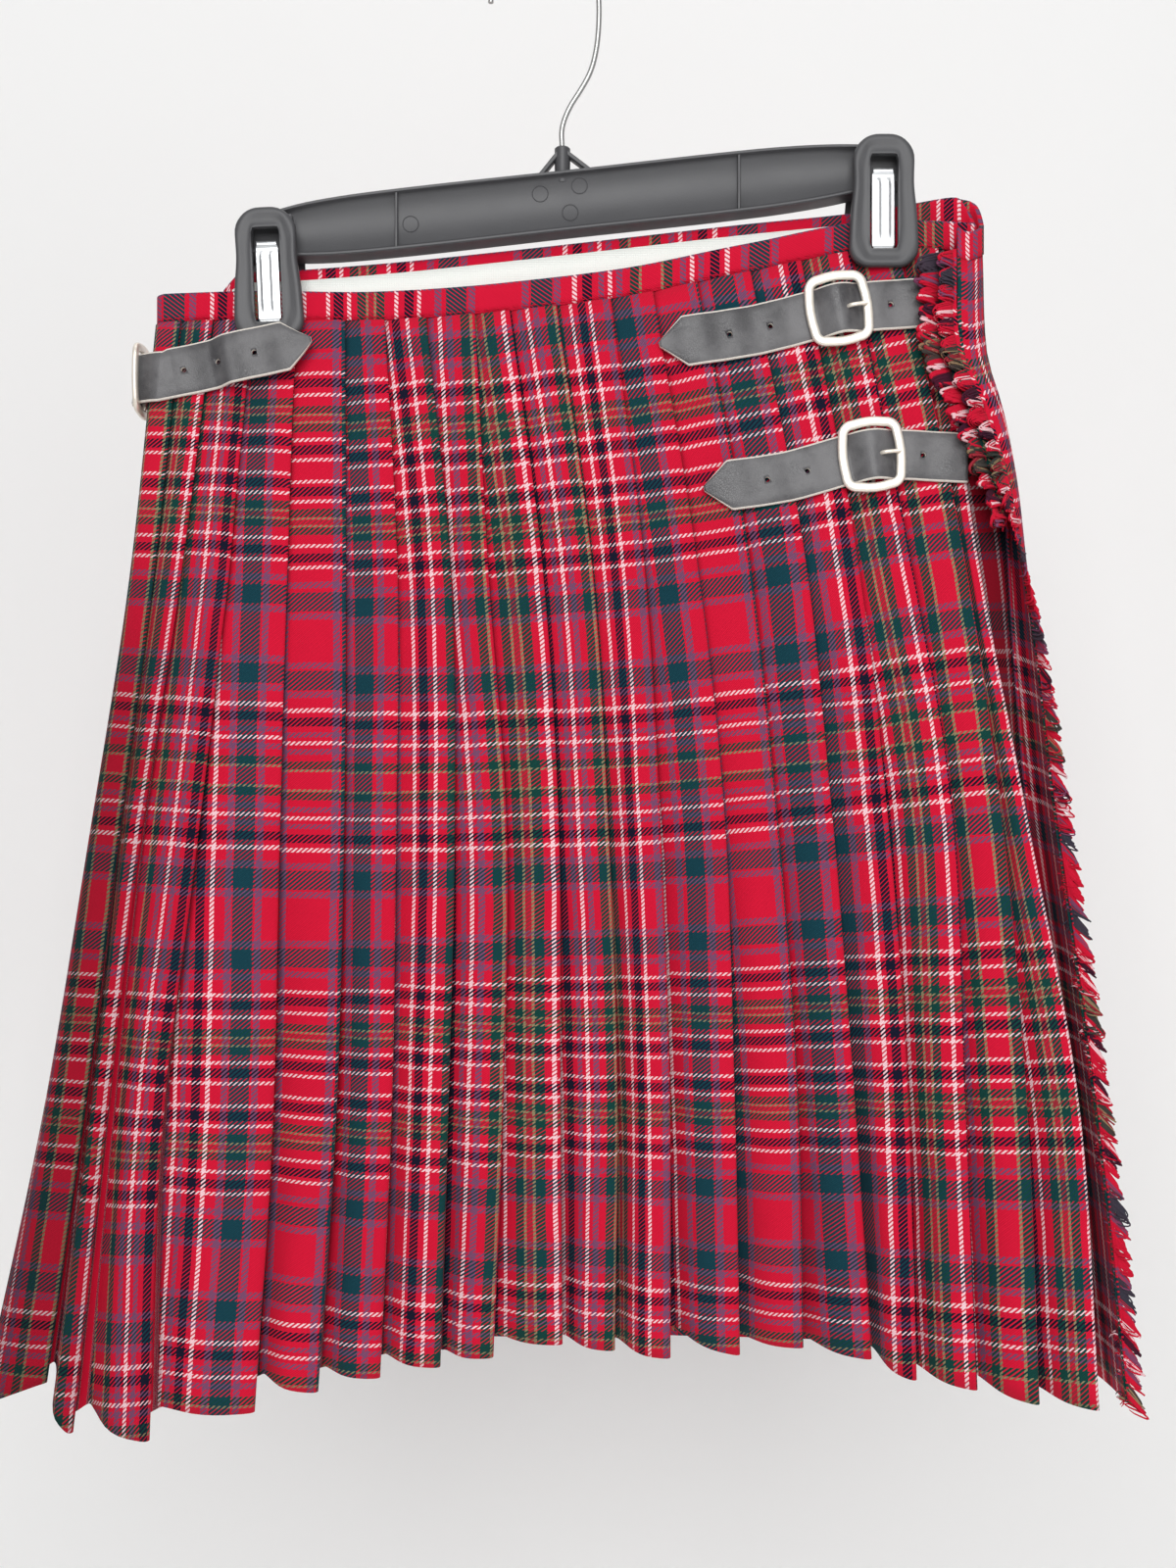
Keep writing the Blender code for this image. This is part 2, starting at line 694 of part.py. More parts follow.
def bulge(distance):
    """How far the leather is raised this far from the buckle's centre bar. It lies flat under the frame."""
    reach = BUCKLE_HALF_WIDE - BUCKLE_WIRE - 0.0008
    if abs(distance) > reach:
        return 0.0
    return BULGE * (0.5 + 0.5 * math.cos(math.pi * distance / reach))


def strap_stations(start, end, buckle):
    """x values from start to end, closer where the leather rises over the buckle's bar."""
    steps = (-0.0092, -0.0066, -0.0040, 0.0, 0.0040, 0.0066, 0.0092)
    near_buckle = [buckle + step for step in steps] if buckle else []
    count = max(int(abs(end - start) / STRAP_PACE), 3)
    even = [start + (end - start) * i / count for i in range(count + 1)]
    even = [x for x in even if all(abs(x - b) > 0.004 for b in near_buckle)]
    point = [end + (start - end) / abs(start - end) * d for d in (STRAP_POINT, STRAP_POINT / 2)]
    even = [x for x in even if abs(x - point[0]) > 0.003 and abs(x - point[1]) > 0.003]
    return sorted(even + near_buckle + point, reverse=start > end)


def strap_line_across(x, z, across, half, lift):
    """Three (front, back) pairs across the strap where it lies on the pleats."""
    line = []
    for w in (-1, 0, 1):
        px = x + across.x * half * w
        pz = z + across.y * half * w
        y = front_y(px, pz) - LEATHER_GAP - lift
        line.append((Vector((px, y - STRAP_WALL, pz)), Vector((px, y, pz))))
    return line


def strap_on_pleats(points, buckle, extra_lift=None):
    """The strap's grid from its root to its point."""
    start, end = points[0][0] * MM, points[-1][0] * MM
    grid = []
    for x in strap_stations(start, end, buckle):
        (px, pz), across = strap_frame(points, strap_share(points, x))
        if across.y < 0:
            across = -across
        lift = bulge(x - buckle) if buckle else 0.0
        lift += extra_lift(x) if extra_lift else 0.0
        grid.append(strap_line_across(px, pz, across, strap_half(abs(end - x)), lift))
    return grid


def pierce(made, name, points, holes, bench):
    for i, hole in enumerate(holes):
        x, z = strap_line(points, strap_share(points, hole * MM))
        boolean(made, hole_cutter(f"{name}_hole_{i}", x, front_y(x, z), z, bench), "DIFFERENCE")


def right_strap(name, points, buckle_mm, holes, home, bench):
    made = slab(name, strap_on_pleats(points, buckle_mm * MM), home, "leather")
    pierce(made, name, points, holes, bench)


def clip_lift(x):
    """How far the left strap's tail is held off the pleats by the clip under it."""
    s = min(max((x - CLIP_LIFT_RUN[0]) / (CLIP_LIFT_RUN[1] - CLIP_LIFT_RUN[0]), 0.0), 1.0)
    return CLIP_LIFT * s * s * (3 - 2 * s)


def left_side_line(angle, lift, z, half):
    """Three (front, back) pairs across the left strap where it goes round the side."""
    line = []
    for w in (1, 0, -1):
        t = share_at(corner_x(-1, 0), z - half * w)
        share = far_share(angle)
        cloth = (2 * along(LAYER_MM, t) * MM) * (1 - share) + APRON_STEP * share + WALL / 2 + LEATHER_GAP
        cloth += 0.0009 * (1 - share)
        outer = side_point(-1, angle, t, cloth + STRAP_WALL + lift)
        inner = side_point(-1, angle, t, cloth + lift)
        line.append((Vector((*outer, z - half * w)), Vector((*inner, z - half * w))))
    return line


def left_strap(home, bench):
    """Its root lies on the outer apron, it goes round the left side through the buckle, and its point lies on
    the pleats, over the end of the clip."""
    x0, z0 = STRAP_LEFT_TAIL[0][0] * MM, STRAP_LEFT_TAIL[0][1] * MM
    grid = []
    t = share_at(corner_x(-1, 0), z0)
    corner = corner_x(-1, t)
    for i in range(3):
        x = STRAP_LEFT_END_X + (corner - STRAP_LEFT_END_X) * i / 3
        y = far_y(x, t) + APRON_STEP + WALL / 2 + LEATHER_GAP
        grid.append(
            [
                (Vector((x, y + STRAP_WALL, z0 + w * STRAP_HALF)), Vector((x, y, z0 + w * STRAP_HALF)))
                for w in (-1, 0, 1)
            ]
        )
    for i in range(STRAP_LEFT_ROUND + 1):
        angle = math.pi * (1 - i / STRAP_LEFT_ROUND)
        lift = SIDE_BULGE * math.sin(angle) ** 4
        grid.append(left_side_line(angle, lift, z0, STRAP_HALF))
    tail = strap_on_pleats(STRAP_LEFT_TAIL, None, clip_lift)
    grid += [line for line in tail if line[1][0].x > corner + 0.0045]
    made = slab("strap_left", grid, home, "leather")
    pierce(made, "strap_left", STRAP_LEFT_TAIL, STRAP_LEFT_HOLES, bench)


def wire(name, points, radius, home, finish, cyclic=False, resolution=2):
    """A round wire along points, as a closed mesh."""
    curve = bpy.data.curves.new(name, "CURVE")
    curve.dimensions = "3D"
    curve.bevel_depth = radius
    curve.bevel_resolution = resolution
    curve.use_fill_caps = not cyclic
    spline = curve.splines.new("POLY")
    spline.points.add(len(points) - 1)
    for place, point in zip(spline.points, points):
        place.co = (*point, 1)
    spline.use_cyclic_u = cyclic
    guide = bpy.data.objects.new(name + "_curve", curve)
    home.objects.link(guide)
    bpy.context.view_layer.update()
    mesh = bpy.data.meshes.new_from_object(guide.evaluated_get(bpy.context.evaluated_depsgraph_get()))
    bpy.data.objects.remove(guide, do_unlink=True)
    bm = bmesh.new()
    bm.from_mesh(mesh)
    bmesh.ops.remove_doubles(bm, verts=bm.verts, dist=1e-6)
    return object_from_bmesh(bm, name, home, finish, smooth=True)


def rounded_loop(half_wide, half_tall, corner, steps=4):
    """Points round a rectangle with round corners, anticlockwise."""
    points = []
    for quarter, (sx, sy) in enumerate(((1, 1), (-1, 1), (-1, -1), (1, -1))):
        for i in range(steps + 1):
            angle = math.pi / 2 * (quarter + i / steps)
            points.append(
                (
                    sx * (half_wide - corner) + corner * math.cos(angle),
                    sy * (half_tall - corner) + corner * math.sin(angle),
                )
            )
    return points


def buckle(name, centre, across, along_strap, outward, ring_out, bar_gap, rise, home, bench):
    """A frame with a centre bar that dips behind the strap, and its prong. across points up the frame."""
    loop = [
        centre + along_strap * a + across * b + outward * ring_out
        for a, b in rounded_loop(BUCKLE_HALF_WIDE, BUCKLE_HALF_TALL, BUCKLE_CORNER)
    ]
    frame = wire(name + "_frame", loop, BUCKLE_WIRE, home, "nickel", cyclic=True)
    thin = BUCKLE_WIRE * 0.6
    low = ring_out - thin - bar_gap
    bar_points = []
    for share in (1, 0.9, 0.4, -0.4, -0.9, -1):
        height = ring_out - (low if abs(share) < 1 else 0)
        bar_points.append(centre + across * BUCKLE_HALF_TALL * share + outward * height)
    bar = wire(name + "_bar", bar_points, thin, bench, "nickel")
    as_cutter(bar, bench)
    boolean(frame, bar, "UNION")
    over = STRAP_WALL + rise + LEATHER_GAP + PRONG_RADIUS + 0.0002
    tip = ring_out + BUCKLE_WIRE + LEATHER_GAP + PRONG_RADIUS
    prong = [
        centre + along_strap * 0.0006 + outward * over,
        centre + along_strap * 0.0036 + outward * over,
        centre + along_strap * (BUCKLE_HALF_WIDE - 0.0030) + outward * tip,
        centre + along_strap * (BUCKLE_HALF_WIDE + 0.0006) + outward * tip,
    ]
    wire(name + "_prong", prong, PRONG_RADIUS, home, "nickel", resolution=1)


def right_buckles(home, bench):
    for name, points, buckle_mm, _ in STRAPS:
        s = strap_share(points, buckle_mm * MM)
        (x, z), across = strap_frame(points, s)
        if across.y < 0:
            across = -across
        t = share_at(x, z)
        slope = (near_y(x + 0.01, t) - near_y(x - 0.01, t)) / 0.02
        along_strap = Vector((across.y, slope * across.y, -across.x)).normalized()
        upward = Vector((across.x, 0, across.y))
        upward = (upward - along_strap * upward.dot(along_strap)).normalized()
        outward = along_strap.cross(upward)
        if outward.y > 0:
            outward = -outward
        centre = Vector((x, front_y(x, z) - LEATHER_GAP, z))
        own = name.replace("strap", "buckle")
        buckle(own, centre, upward, along_strap, outward, BUCKLE_OUT, 0.0002, BULGE, home, bench)


def left_buckle(home, bench):
    z = STRAP_LEFT_TAIL[0][1] * MM
    _, middle, _ = left_side_line(math.pi / 2, 0.0, z, STRAP_HALF)
    ring = BUCKLE_WIRE + LEATHER_GAP * 3
    up, back, left = Vector((0, 0, 1)), Vector((0, 1, 0)), Vector((-1, 0, 0))
    buckle("buckle_left", middle[1], up, back, left, ring, 0.0007, SIDE_BULGE, home, bench)


# ---------------------------------------------------------------- hanger


def box(name, low, high, home, finish):
    """A box between two corners."""
    bpy.ops.mesh.primitive_cube_add(size=1)
    made = bpy.context.object
    made.name = name
    size = Vector(high) - Vector(low)
    made.data.transform(Matrix.Translation((Vector(low) + Vector(high)) / 2) @ Matrix.Diagonal((*size, 1)))
    made.data.materials.append(material(finish))
    for old in made.users_collection:
        old.objects.unlink(made)
    home.objects.link(made)
    return made


def bar_centre(x):
    return BAR_CENTRE_Z + (x - BAR_CENTRE_X) * BAR_SLOPE


def bar_height(x):
    return curve_at(BAR_SECTIONS, x)


def hanger_bar(home, bench):
    """An I-section bar with two ribs, a neck post with the hook's bore, and a strut on each side."""
    bm = bmesh.new()
    rings = []
    for x, tall in BAR_SECTIONS:
        top, web = tall / 2, tall / 2 - BAR_FLANGE
        section = (
            (-BAR_HALF_DEEP, top),
            (BAR_HALF_DEEP, top),
            (BAR_HALF_DEEP, web),
            (BAR_HALF_WEB, web),
            (BAR_HALF_WEB, -web),
            (BAR_HALF_DEEP, -web),
            (BAR_HALF_DEEP, -top),
            (-BAR_HALF_DEEP, -top),
            (-BAR_HALF_DEEP, -web),
            (-BAR_HALF_WEB, -web),
            (-BAR_HALF_WEB, web),
            (-BAR_HALF_DEEP, web),
        )
        rings.append([bm.verts.new((x, y, bar_centre(x) + z)) for y, z in section])
    for a, b in zip(rings, rings[1:]):
        for i in range(12):
            j = (i + 1) % 12
            bm.faces.new((a[i], a[j], b[j], b[i]))
    bm.faces.new(rings[0])
    bm.faces.new(rings[-1])
    bar = object_from_bmesh(bm, "hanger_bar", home, "plastic")
    deep = BAR_HALF_DEEP - 0.0008
    for i, x in enumerate((BAR_SECTIONS[0][0] + 0.0008, *BAR_RIBS, BAR_SECTIONS[-1][0] - 0.0008)):
        tall = bar_height(x) / 2 - BAR_FLANGE / 2
        low = (x - 0.0008, -deep, bar_centre(x) - tall)
        rib = box(f"rib_{i}", low, (x + 0.0008, deep, bar_centre(x) + tall), bench, "plastic")
        as_cutter(rib, bench)
        boolean(bar, rib, "UNION")
    foot = bar_centre(NECK_X) + bar_height(NECK_X) / 2 - 0.004
    low, high = (NECK_X - NECK_HALF, -NECK_HALF, foot), (NECK_X + NECK_HALF, NECK_HALF, NECK_TOP)
    post = box("neck_post", low, high, bench, "plastic")
    as_cutter(post, bench)
    boolean(bar, post, "UNION")
    for i, x in enumerate(NECK_FEET):
        top = Vector((NECK_X + (0.001 if x > NECK_X else -0.001), 0, NECK_TOP - 0.0022))
        end = Vector((x, 0, bar_centre(x) + bar_height(x) / 2 - 0.0008))
        length = (end - top).length
        low, high = (0, -STRUT_DEEP / 2, -STRUT_THICK / 2), (length, STRUT_DEEP / 2, STRUT_THICK / 2)
        strut = box(f"strut_{i}", low, high, bench, "plastic")
        turn = math.atan2(-(end.z - top.z), end.x - top.x)
        strut.data.transform(Matrix.Translation(top) @ Matrix.Rotation(turn, 4, "Y"))
        as_cutter(strut, bench)
        boolean(bar, strut, "UNION")
    bore = (NECK_X, 0, NECK_TOP - 0.0085 + 0.01)
    bpy.ops.mesh.primitive_cylinder_add(vertices=20, radius=HOOK_BORE, depth=0.02, location=bore)
    bore = bpy.context.object
    bore.name = "neck_bore"
    as_cutter(bore, bench)
    boolean(bar, bore, "DIFFERENCE")


def hanger_hook(home):
    points = [Vector((x * MM, 0, z * MM)) for x, z in HOOK_STEM_MM]
    centre = WIRE_RADIUS - CROWN_RADIUS
    for i in range(19):
        angle = math.pi * i / 18
        points.append(Vector((CROWN_RADIUS * math.cos(angle), 0, centre + CROWN_RADIUS * math.sin(angle))))
    points.append(Vector((-CROWN_RADIUS, 0, centre - 0.0012)))
    wire("hanger_hook", points, WIRE_RADIUS, home, "steel")


def plate(name, outline, window, span, home, finish):
    """A flat plate from an (x, z) outline, with an optional window, between two y values."""
    curve = bpy.data.curves.new(name, "CURVE")
    curve.dimensions = "2D"
    curve.fill_mode = "BOTH"
    curve.extrude = (span[1] - span[0]) / 2
    for line in (outline, window):
        if not line:
            continue
        spline = curve.splines.new("POLY")
        spline.points.add(len(line) - 1)
        for place, (x, z) in zip(spline.points, line):
            place.co = (x, z, 0, 1)
        spline.use_cyclic_u = True
    guide = bpy.data.objects.new(name + "_outline", curve)
    home.objects.link(guide)
    bpy.context.view_layer.update()
    mesh = bpy.data.meshes.new_from_object(guide.evaluated_get(bpy.context.evaluated_depsgraph_get()))
    bpy.data.objects.remove(guide, do_unlink=True)
    bm = bmesh.new()
    bm.from_mesh(mesh)
    bmesh.ops.remove_doubles(bm, verts=bm.verts, dist=1e-6)
    stand = Matrix.Translation((0, (span[0] + span[1]) / 2, 0)) @ Matrix.Rotation(math.pi / 2, 4, "X")
    bmesh.ops.transform(bm, matrix=stand, verts=bm.verts)
    return object_from_bmesh(bm, name, home, finish)


def tapered_outline(x, top, tall, top_half, foot_half, corner, steps=5):
    """Points round a plate whose sides spread downwards, with round corners."""
    points = []
    for quarter, (sx, sz) in enumerate(((1, 1), (-1, 1), (-1, -1), (1, -1))):
        half = top_half if sz > 0 else foot_half
        z = top - corner if sz > 0 else top - tall + corner
        for i in range(steps + 1):
            angle = math.pi / 2 * (quarter + i / steps)
            points.append((x + sx * (half - corner) + corner * math.cos(angle), z + corner * math.sin(angle)))
    return points


def clip(name, x, top, home, bench):
    """Two jaws and a leaf spring. Pads on the jaws grip the band, and cheeks above them bear on the bar."""
    outline = tapered_outline(x, top, CLIP_TALL, CLIP_TOP_HALF, CLIP_HALF, CLIP_CORNER)
    window = tapered_outline(x, top - WINDOW_DROP, WINDOW_TALL, WINDOW_HALF, WINDOW_HALF + 0.0006, 0.0020, 2)
    for side, span, pad_y, hole in (
        ("front", FRONT_JAW, PAD_NEAR, window),
        ("back", BACK_JAW, PAD_FAR, None),
    ):
        jaw = plate(f"{name}_{side}", outline, hole, span, home, "plastic")
        bevel(jaw, 0.0007, 1)
        sign = -1 if side == "front" else 1
        inner = span[1] if side == "front" else span[0]
        rim = rim_near(x) if side == "front" else rim_far(x)
        pad_top = rim - PAD_BELOW_RIM
        ends = sorted((inner + sign * 0.0012, pad_y))
        for i, (left, right) in enumerate(((-PAD_OUTER, -PAD_INNER), (PAD_INNER, PAD_OUTER))):
            low = (x + left, ends[0], pad_top - PAD_TALL)
            pad = box(f"{name}_{side}_pad_{i}", low, (x + right, ends[1], pad_top), bench, "plastic")
            as_cutter(pad, bench)
            boolean(jaw, pad, "UNION")
        ends = sorted((inner + sign * 0.0012, sign * (BAR_HALF_DEEP + 0.0003)))
        for i, offset in enumerate((-CHEEK_X, CHEEK_X)):
            at = x + offset
            tall = min(bar_height(at) / 2, 0.0080)
            low = (at - CHEEK_HALF, ends[0], bar_centre(at) - tall)
            high = (at + CHEEK_HALF, ends[1], bar_centre(at) + tall * 0.7)
            cheek = box(f"{name}_{side}_cheek_{i}", low, high, bench, "plastic")
            as_cutter(cheek, bench)
            boolean(jaw, cheek, "UNION")
    front = FRONT_JAW[1] + LEATHER_GAP
    low = (x - SPRING_HALF, front, top - WINDOW_DROP - WINDOW_TALL - 0.0008)
    box(f"{name}_spring", low, (x + SPRING_HALF, front + SPRING_WALL, top - SPRING_DROP), home, "steel")


# ---------------------------------------------------------------- assembly


def build():
    clear_scene()
    kilt = collection("scottish_kilt")
    bench = collection("cutters")
    pleated_back(kilt)
    over_apron(kilt)
    under_apron(kilt)
    lining(kilt)
    waistband(kilt)
    for row in FRINGE_ROWS:
        fringe(row, kilt)
    for name, points, buckle_mm, holes in STRAPS:
        right_strap(name, points, buckle_mm, holes, kilt, bench)
    left_strap(kilt, bench)
    right_buckles(kilt, bench)
    left_buckle(kilt, bench)
    hanger_bar(kilt, bench)
    hanger_hook(kilt)
    for name, x, top in CLIPS:
        clip(name, x, top, kilt, bench)


build()
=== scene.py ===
"""Looks of a Scottish kilt that hangs from a clip hanger with its pleated back to the viewer.

Metres, +Z up. X runs to the right of someone who looks at the pleats, and +Y runs away from them, towards
the two aprons. Tables whose names end in _MM hold millimetres. A height on a panel is a share t, 0 at the
waistband's seam and 1 at the hem.
"""

import itertools
import math
import random

import bmesh
import bpy
import numpy as np
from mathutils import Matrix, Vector
from mathutils.bvhtree import BVHTree


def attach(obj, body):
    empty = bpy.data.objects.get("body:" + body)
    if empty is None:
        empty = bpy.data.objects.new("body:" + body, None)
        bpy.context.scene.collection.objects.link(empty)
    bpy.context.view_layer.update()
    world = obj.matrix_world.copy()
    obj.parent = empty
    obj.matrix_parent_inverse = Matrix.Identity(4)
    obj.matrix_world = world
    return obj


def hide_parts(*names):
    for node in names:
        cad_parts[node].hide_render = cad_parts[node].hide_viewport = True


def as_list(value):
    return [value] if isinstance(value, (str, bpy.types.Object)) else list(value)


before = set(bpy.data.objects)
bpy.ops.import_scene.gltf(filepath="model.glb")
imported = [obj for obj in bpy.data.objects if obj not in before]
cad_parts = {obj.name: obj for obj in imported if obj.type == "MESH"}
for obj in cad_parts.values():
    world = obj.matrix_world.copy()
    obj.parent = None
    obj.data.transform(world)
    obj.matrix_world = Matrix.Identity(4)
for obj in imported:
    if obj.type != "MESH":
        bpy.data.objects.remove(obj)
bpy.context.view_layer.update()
MM = 0.001
UP = Vector((0, 0, 1))
AWAY = Vector((0, 1, 0))
SMALL = 0.01  # a step for the slope of a line, as a share or in metres

# ---------------------------------------------------------------- sizes of the garment

WALL = 0.0010  # of the tartan cloth
SEAM_GAP = 0.0003  # between the band and the cloth below it
BAND_WALL = 0.0020
BAND_HEIGHT = 0.0120
APRON_STEP = 0.0030  # between the inner apron and the outer one
STATIONS = 5  # heights, evenly spaced from waist to hem, at which most tables say where the cloth is

# Soft creases: the line of each from (x, z) to (x, z), its half width, and how far it stands out.
NEAR_CREASES_MM = (
    (-95, -188, -150, -262, 13, 1.5), (-60, -178, -76, -330, 15, -1.6), (10, -168, 0, -330, 17, 1.4),
    (58, -205, 92, -300, 13, -1.3), (100, -268, 150, -330, 13, 1.8), (-140, -300, -160, -480, 15, 2.3),
    (-100, -360, -106, -560, 14, -2.0), (-30, -380, -36, -590, 16, 2.2), (25, -350, 36, -520, 14, -1.9),
    (75, -330, 100, -560, 15, 2.1), (130, -360, 150, -540, 13, -2.0), (170, -330, 192, -560, 13, 1.8),
    (-15, -238, 42, -252, 9, 0.8), (-122, -238, -62, -249, 8, 0.8), (-70, -300, 20, -312, 10, 0.7),
    (30, -402, 118, -392, 11, 0.8),
)  # fmt: skip
FAR_CREASES_MM = (
    (-120, -172, -150, -380, 17, 2.5), (-72, -200, -86, -560, 21, -2.8), (-20, -165, -26, -400, 17, 2.2),
    (30, -250, 24, -600, 21, 3.0), (76, -172, 86, -420, 16, -2.2), (120, -220, 150, -590, 19, 2.8),
    (-150, -420, -172, -600, 17, 2.4), (160, -190, 176, -330, 12, 1.8), (0, -420, -12, -600, 19, -2.4),
    (-95, -230, -30, -262, 11, 0.9), (40, -215, 110, -236, 11, 1.0),
)  # fmt: skip
# Creases fade out over CREASE_FADE before they reach a rounded side, and above the share CREASE_TOP.
# A far crease fades in over CREASE_BEHIND as the cloth goes round to the far side.
CREASE_INSET = 0.003
CREASE_FADE = 0.030
CREASE_TOP = 0.06
CREASE_BEHIND = 0.008
ROWS_T = (0.0, 0.09, 0.14, 0.20, 0.27, 0.36, 0.50, 0.66, 0.83, 1.0)
ROWS = 56  # rows of points from the waist to the hem
PER_SPAN = 4  # points on each rounded corner of a folded line
APRON_SPAN = 3  # and of an apron's
APRON_PLACES = {"outer_apron": 300.0, "inner_apron": 120.0}  # in the tartan, at the edge on the right
STRAIGHT_RUN = 0.05  # of an apron past its middle, where the stripes hang straight

# The waist's top edge, near and far, from RIM_LEFT to RIM_RIGHT. Then y of the two sides in their middle,
# and how much they curl towards the viewer at HALF_WIDTH from MIDDLE_X.
RIM_LEFT = -0.175
RIM_RIGHT = 0.190
RIM_NEAR_MM = (-152, -150.4, -151, -149, -143, -131, -120.5, -121)
RIM_FAR_MM = (-139, -139.5, -136, -130.7, -124.9, -119, -113.5, -104.5)
NEAR_MM = (-3.5, -7, -9, -11, -13)
FAR_MM = (3.0, 5, 7, 9, 10)
CURL_NEAR_MM = (0, 8, 21, 36, 52)
CURL_FAR_MM = (0, 4, 11, 19, 28)
FAR_DROP = 0.0135  # the far rim dips behind the near one past the left clip
FAR_DROP_X = (-0.131, -0.147)
END_DROP = 0.0085  # how far the outer apron's end hangs below the layers under it, between these places
END_DROP_X = (0.168, 0.182)
END_DROP_Y = (0.004, -0.004)
SLACK = 0.008
SLACK_X = 0.014
SLACK_REACH = 0.112
MIDDLE_X = 0.009
HALF_WIDTH = 0.240
LEFT_MM = (-165, -175, -189, -203, -222)
RIGHT_MM = (182, 189, 201, 213, 218)
ROUND_LEFT_MM = (3, 4, 6, 10, 18)
ROUND_RIGHT_MM = (3, 4, 6, 8, 9)

# Pleats from left to right. x of each fold at five heights, z of its corner at the hem, how much higher its
# tucked start hangs, how far its fold stands out at the hem, the place in the tartan at its fold, and the
# tartan's width on it against the cloth's own.
PLEATS_MM = (
    # waist, upper, middle, lower, hem, hem_z, tuck, stand, tartan, width
    (-157, -166, -177, -186, -196, -600, 2, 3, 330, 1.00),
    (-143, -155, -169, -178, -185, -619, 6, 9, 606, 1.22),
    (-126, -135, -146, -157, -158, -627, 6, 6, 384, 1.22),
    (-107, -110, -112, -113, -118, -620, 2, 5, 453, 1.00),
    (-86, -85, -85, -87, -93, -614, 6, 4, 492, 0.94),
    (-69, -63, -63, -64, -68, -610, 3, 3, 532, 0.98),
    (-51, -40, -38, -40, -43, -606, 3, 4, 574, 0.98),
    (-30, -24, -16, -17, -21, -603, 1, 3, 309, 0.88),
    (-15, -1, 6, 7, 8, -598, 2, 3, 606, 0.82),
    (5, 20, 27, 31, 30, -600, 1, 4, 308, 1.03),
    (28, 42, 49, 53, 53, -601, 2, 9, 122, 1.13),
    (46, 64, 76, 80, 82, -600, 8, 5, 166, 1.00),
    (65, 86, 98, 106, 108, -596, 1, 4, 206, 1.06),
    (88, 109, 121, 129, 135, -598, 2, 6, 238, 0.83),
    (110, 131, 144, 151, 152, -604, 2, 9, 266, 1.02),
    (131, 153, 171, 174, 176, -607, 2, 5, 86, 0.94),
    (152, 176, 191, 198, 199, -610, 3, 5, 337, 0.87),
    (169, 182, 201, 218, 221, -610, 4, 3, 602, 1.00),
)
LAYER_MM = (1.2, 1.4, 2.2, 3.2, 4.0)  # between the layers of a pleat, which are pressed flat where it is sewn
STACK_MM = (3.6, 3.8, 4.8, 6.4, 8.0)  # from the hollow to the outer layer

# Place in the tartan down each fold, at five heights. The cloth is steamed and hangs a little stretched.
WEFT_PLACES = (
    (-152, 116, 385, 660, 944), (-155, 126, 399, 668, 944), (-146, 130, 403, 674, 944),
    (-147, 122, 392, 664, 944), (-153, 112, 382, 659, 944), (-158, 105, 376, 655, 944),
    (-161, 100, 372, 653, 944), (-167, 97, 369, 650, 944), (-166, 92, 363, 646, 944),
    (-162, 92, 363, 650, 950), (-164, 90, 361, 650, 950), (-165, 88, 358, 646, 948),
    (-169, 85, 356, 642, 945), (-171, 87, 360, 647, 948), (-165, 99, 375, 661, 955),
    (-165, 112, 388, 668, 956), (-174, 118, 402, 680, 960), (-177, 116, 401, 682, 962),
)  # fmt: skip
APRON_WEFTS = (-165, 110, 390, 670, 950)
TUCK_SHARE = 0.45  # of a pleat's width, which its hidden run takes
FIRST_SPARE = 0.004
FACE_START = 0.0020  # a face leaves the pleat before it over this run
FACE_GAP = 0.0004
FACE_OUT = 0.0002
FACE_RISE = 0.96  # share of a fold's height that its face reaches before the fold
TUCK_HIGHER = 0.003  # the hidden cloth hangs this much higher at the hem
LAST_GAP = 0.0055  # the last run's corners, from the inner apron's end
LAST_SHORT = 0.0008
LEFT_TURN = 7  # steps round the left side
HEM_LEFT = -0.600
HEM_LEFT_DIP = 0.016

# The outer apron's edge at ROWS_T: its x, the way it points, how far it stands off the pleats, and the
# reach of the curve that leads there from the far corner.
EDGE_MM = (176, 177, 187, 195, 201, 207, 213, 220.5, 227, 231)
EDGE_ANGLE = (180, 180, 183, 200, 226, 250, 263, 267, 269, 270)
EDGE_OUT_MM = (6.2, 6.2, 6.2, 5.6, 4.2, 2, 0, 0, 0, 0)
EDGE_REACH_MM = (15, 15, 13, 13, 13, 14, 17, 20, 23, 26)
CORNER_REACH_MM = (15, 15, 18, 17, 16, 14, 14, 15, 17, 18)
TURN = 12  # steps of that curve, and of it how many the inner apron takes too
UNDER_TURN = 6
UNDER_EDGE_MM = (-140, -148, -160, -172, -190)
HEM_FAR = -0.606
HEM_EDGE = -0.606
HEM_INNER = -0.604
HEM_LIFT = 0.003
FAR_STEPS = 16
LINING_WALL = 0.0007
LINING_BELOW_RIM = 0.005
LINING_INSET = 0.0019  # from the inner apron
LINING_LOWEST = 0.36  # the share at which it ends
LINING_ROWS = 10
LINING_STEPS = 60
LINING_SHORT = (0.004, 0.006)  # of the inner apron's edge on the left, and of the corner on the right
LINING_DUCK = 0.010
LINING_DUCK_X = (0.125, 0.150)

LEFT_SHADE = (0.75, 0.50, 0.22)  # painted shade on the first pleats, which lie in each other's shade, from 0 to 1
LEFT_SHADE_T = (0.10, 0.45)  # the shares between which that shade grows

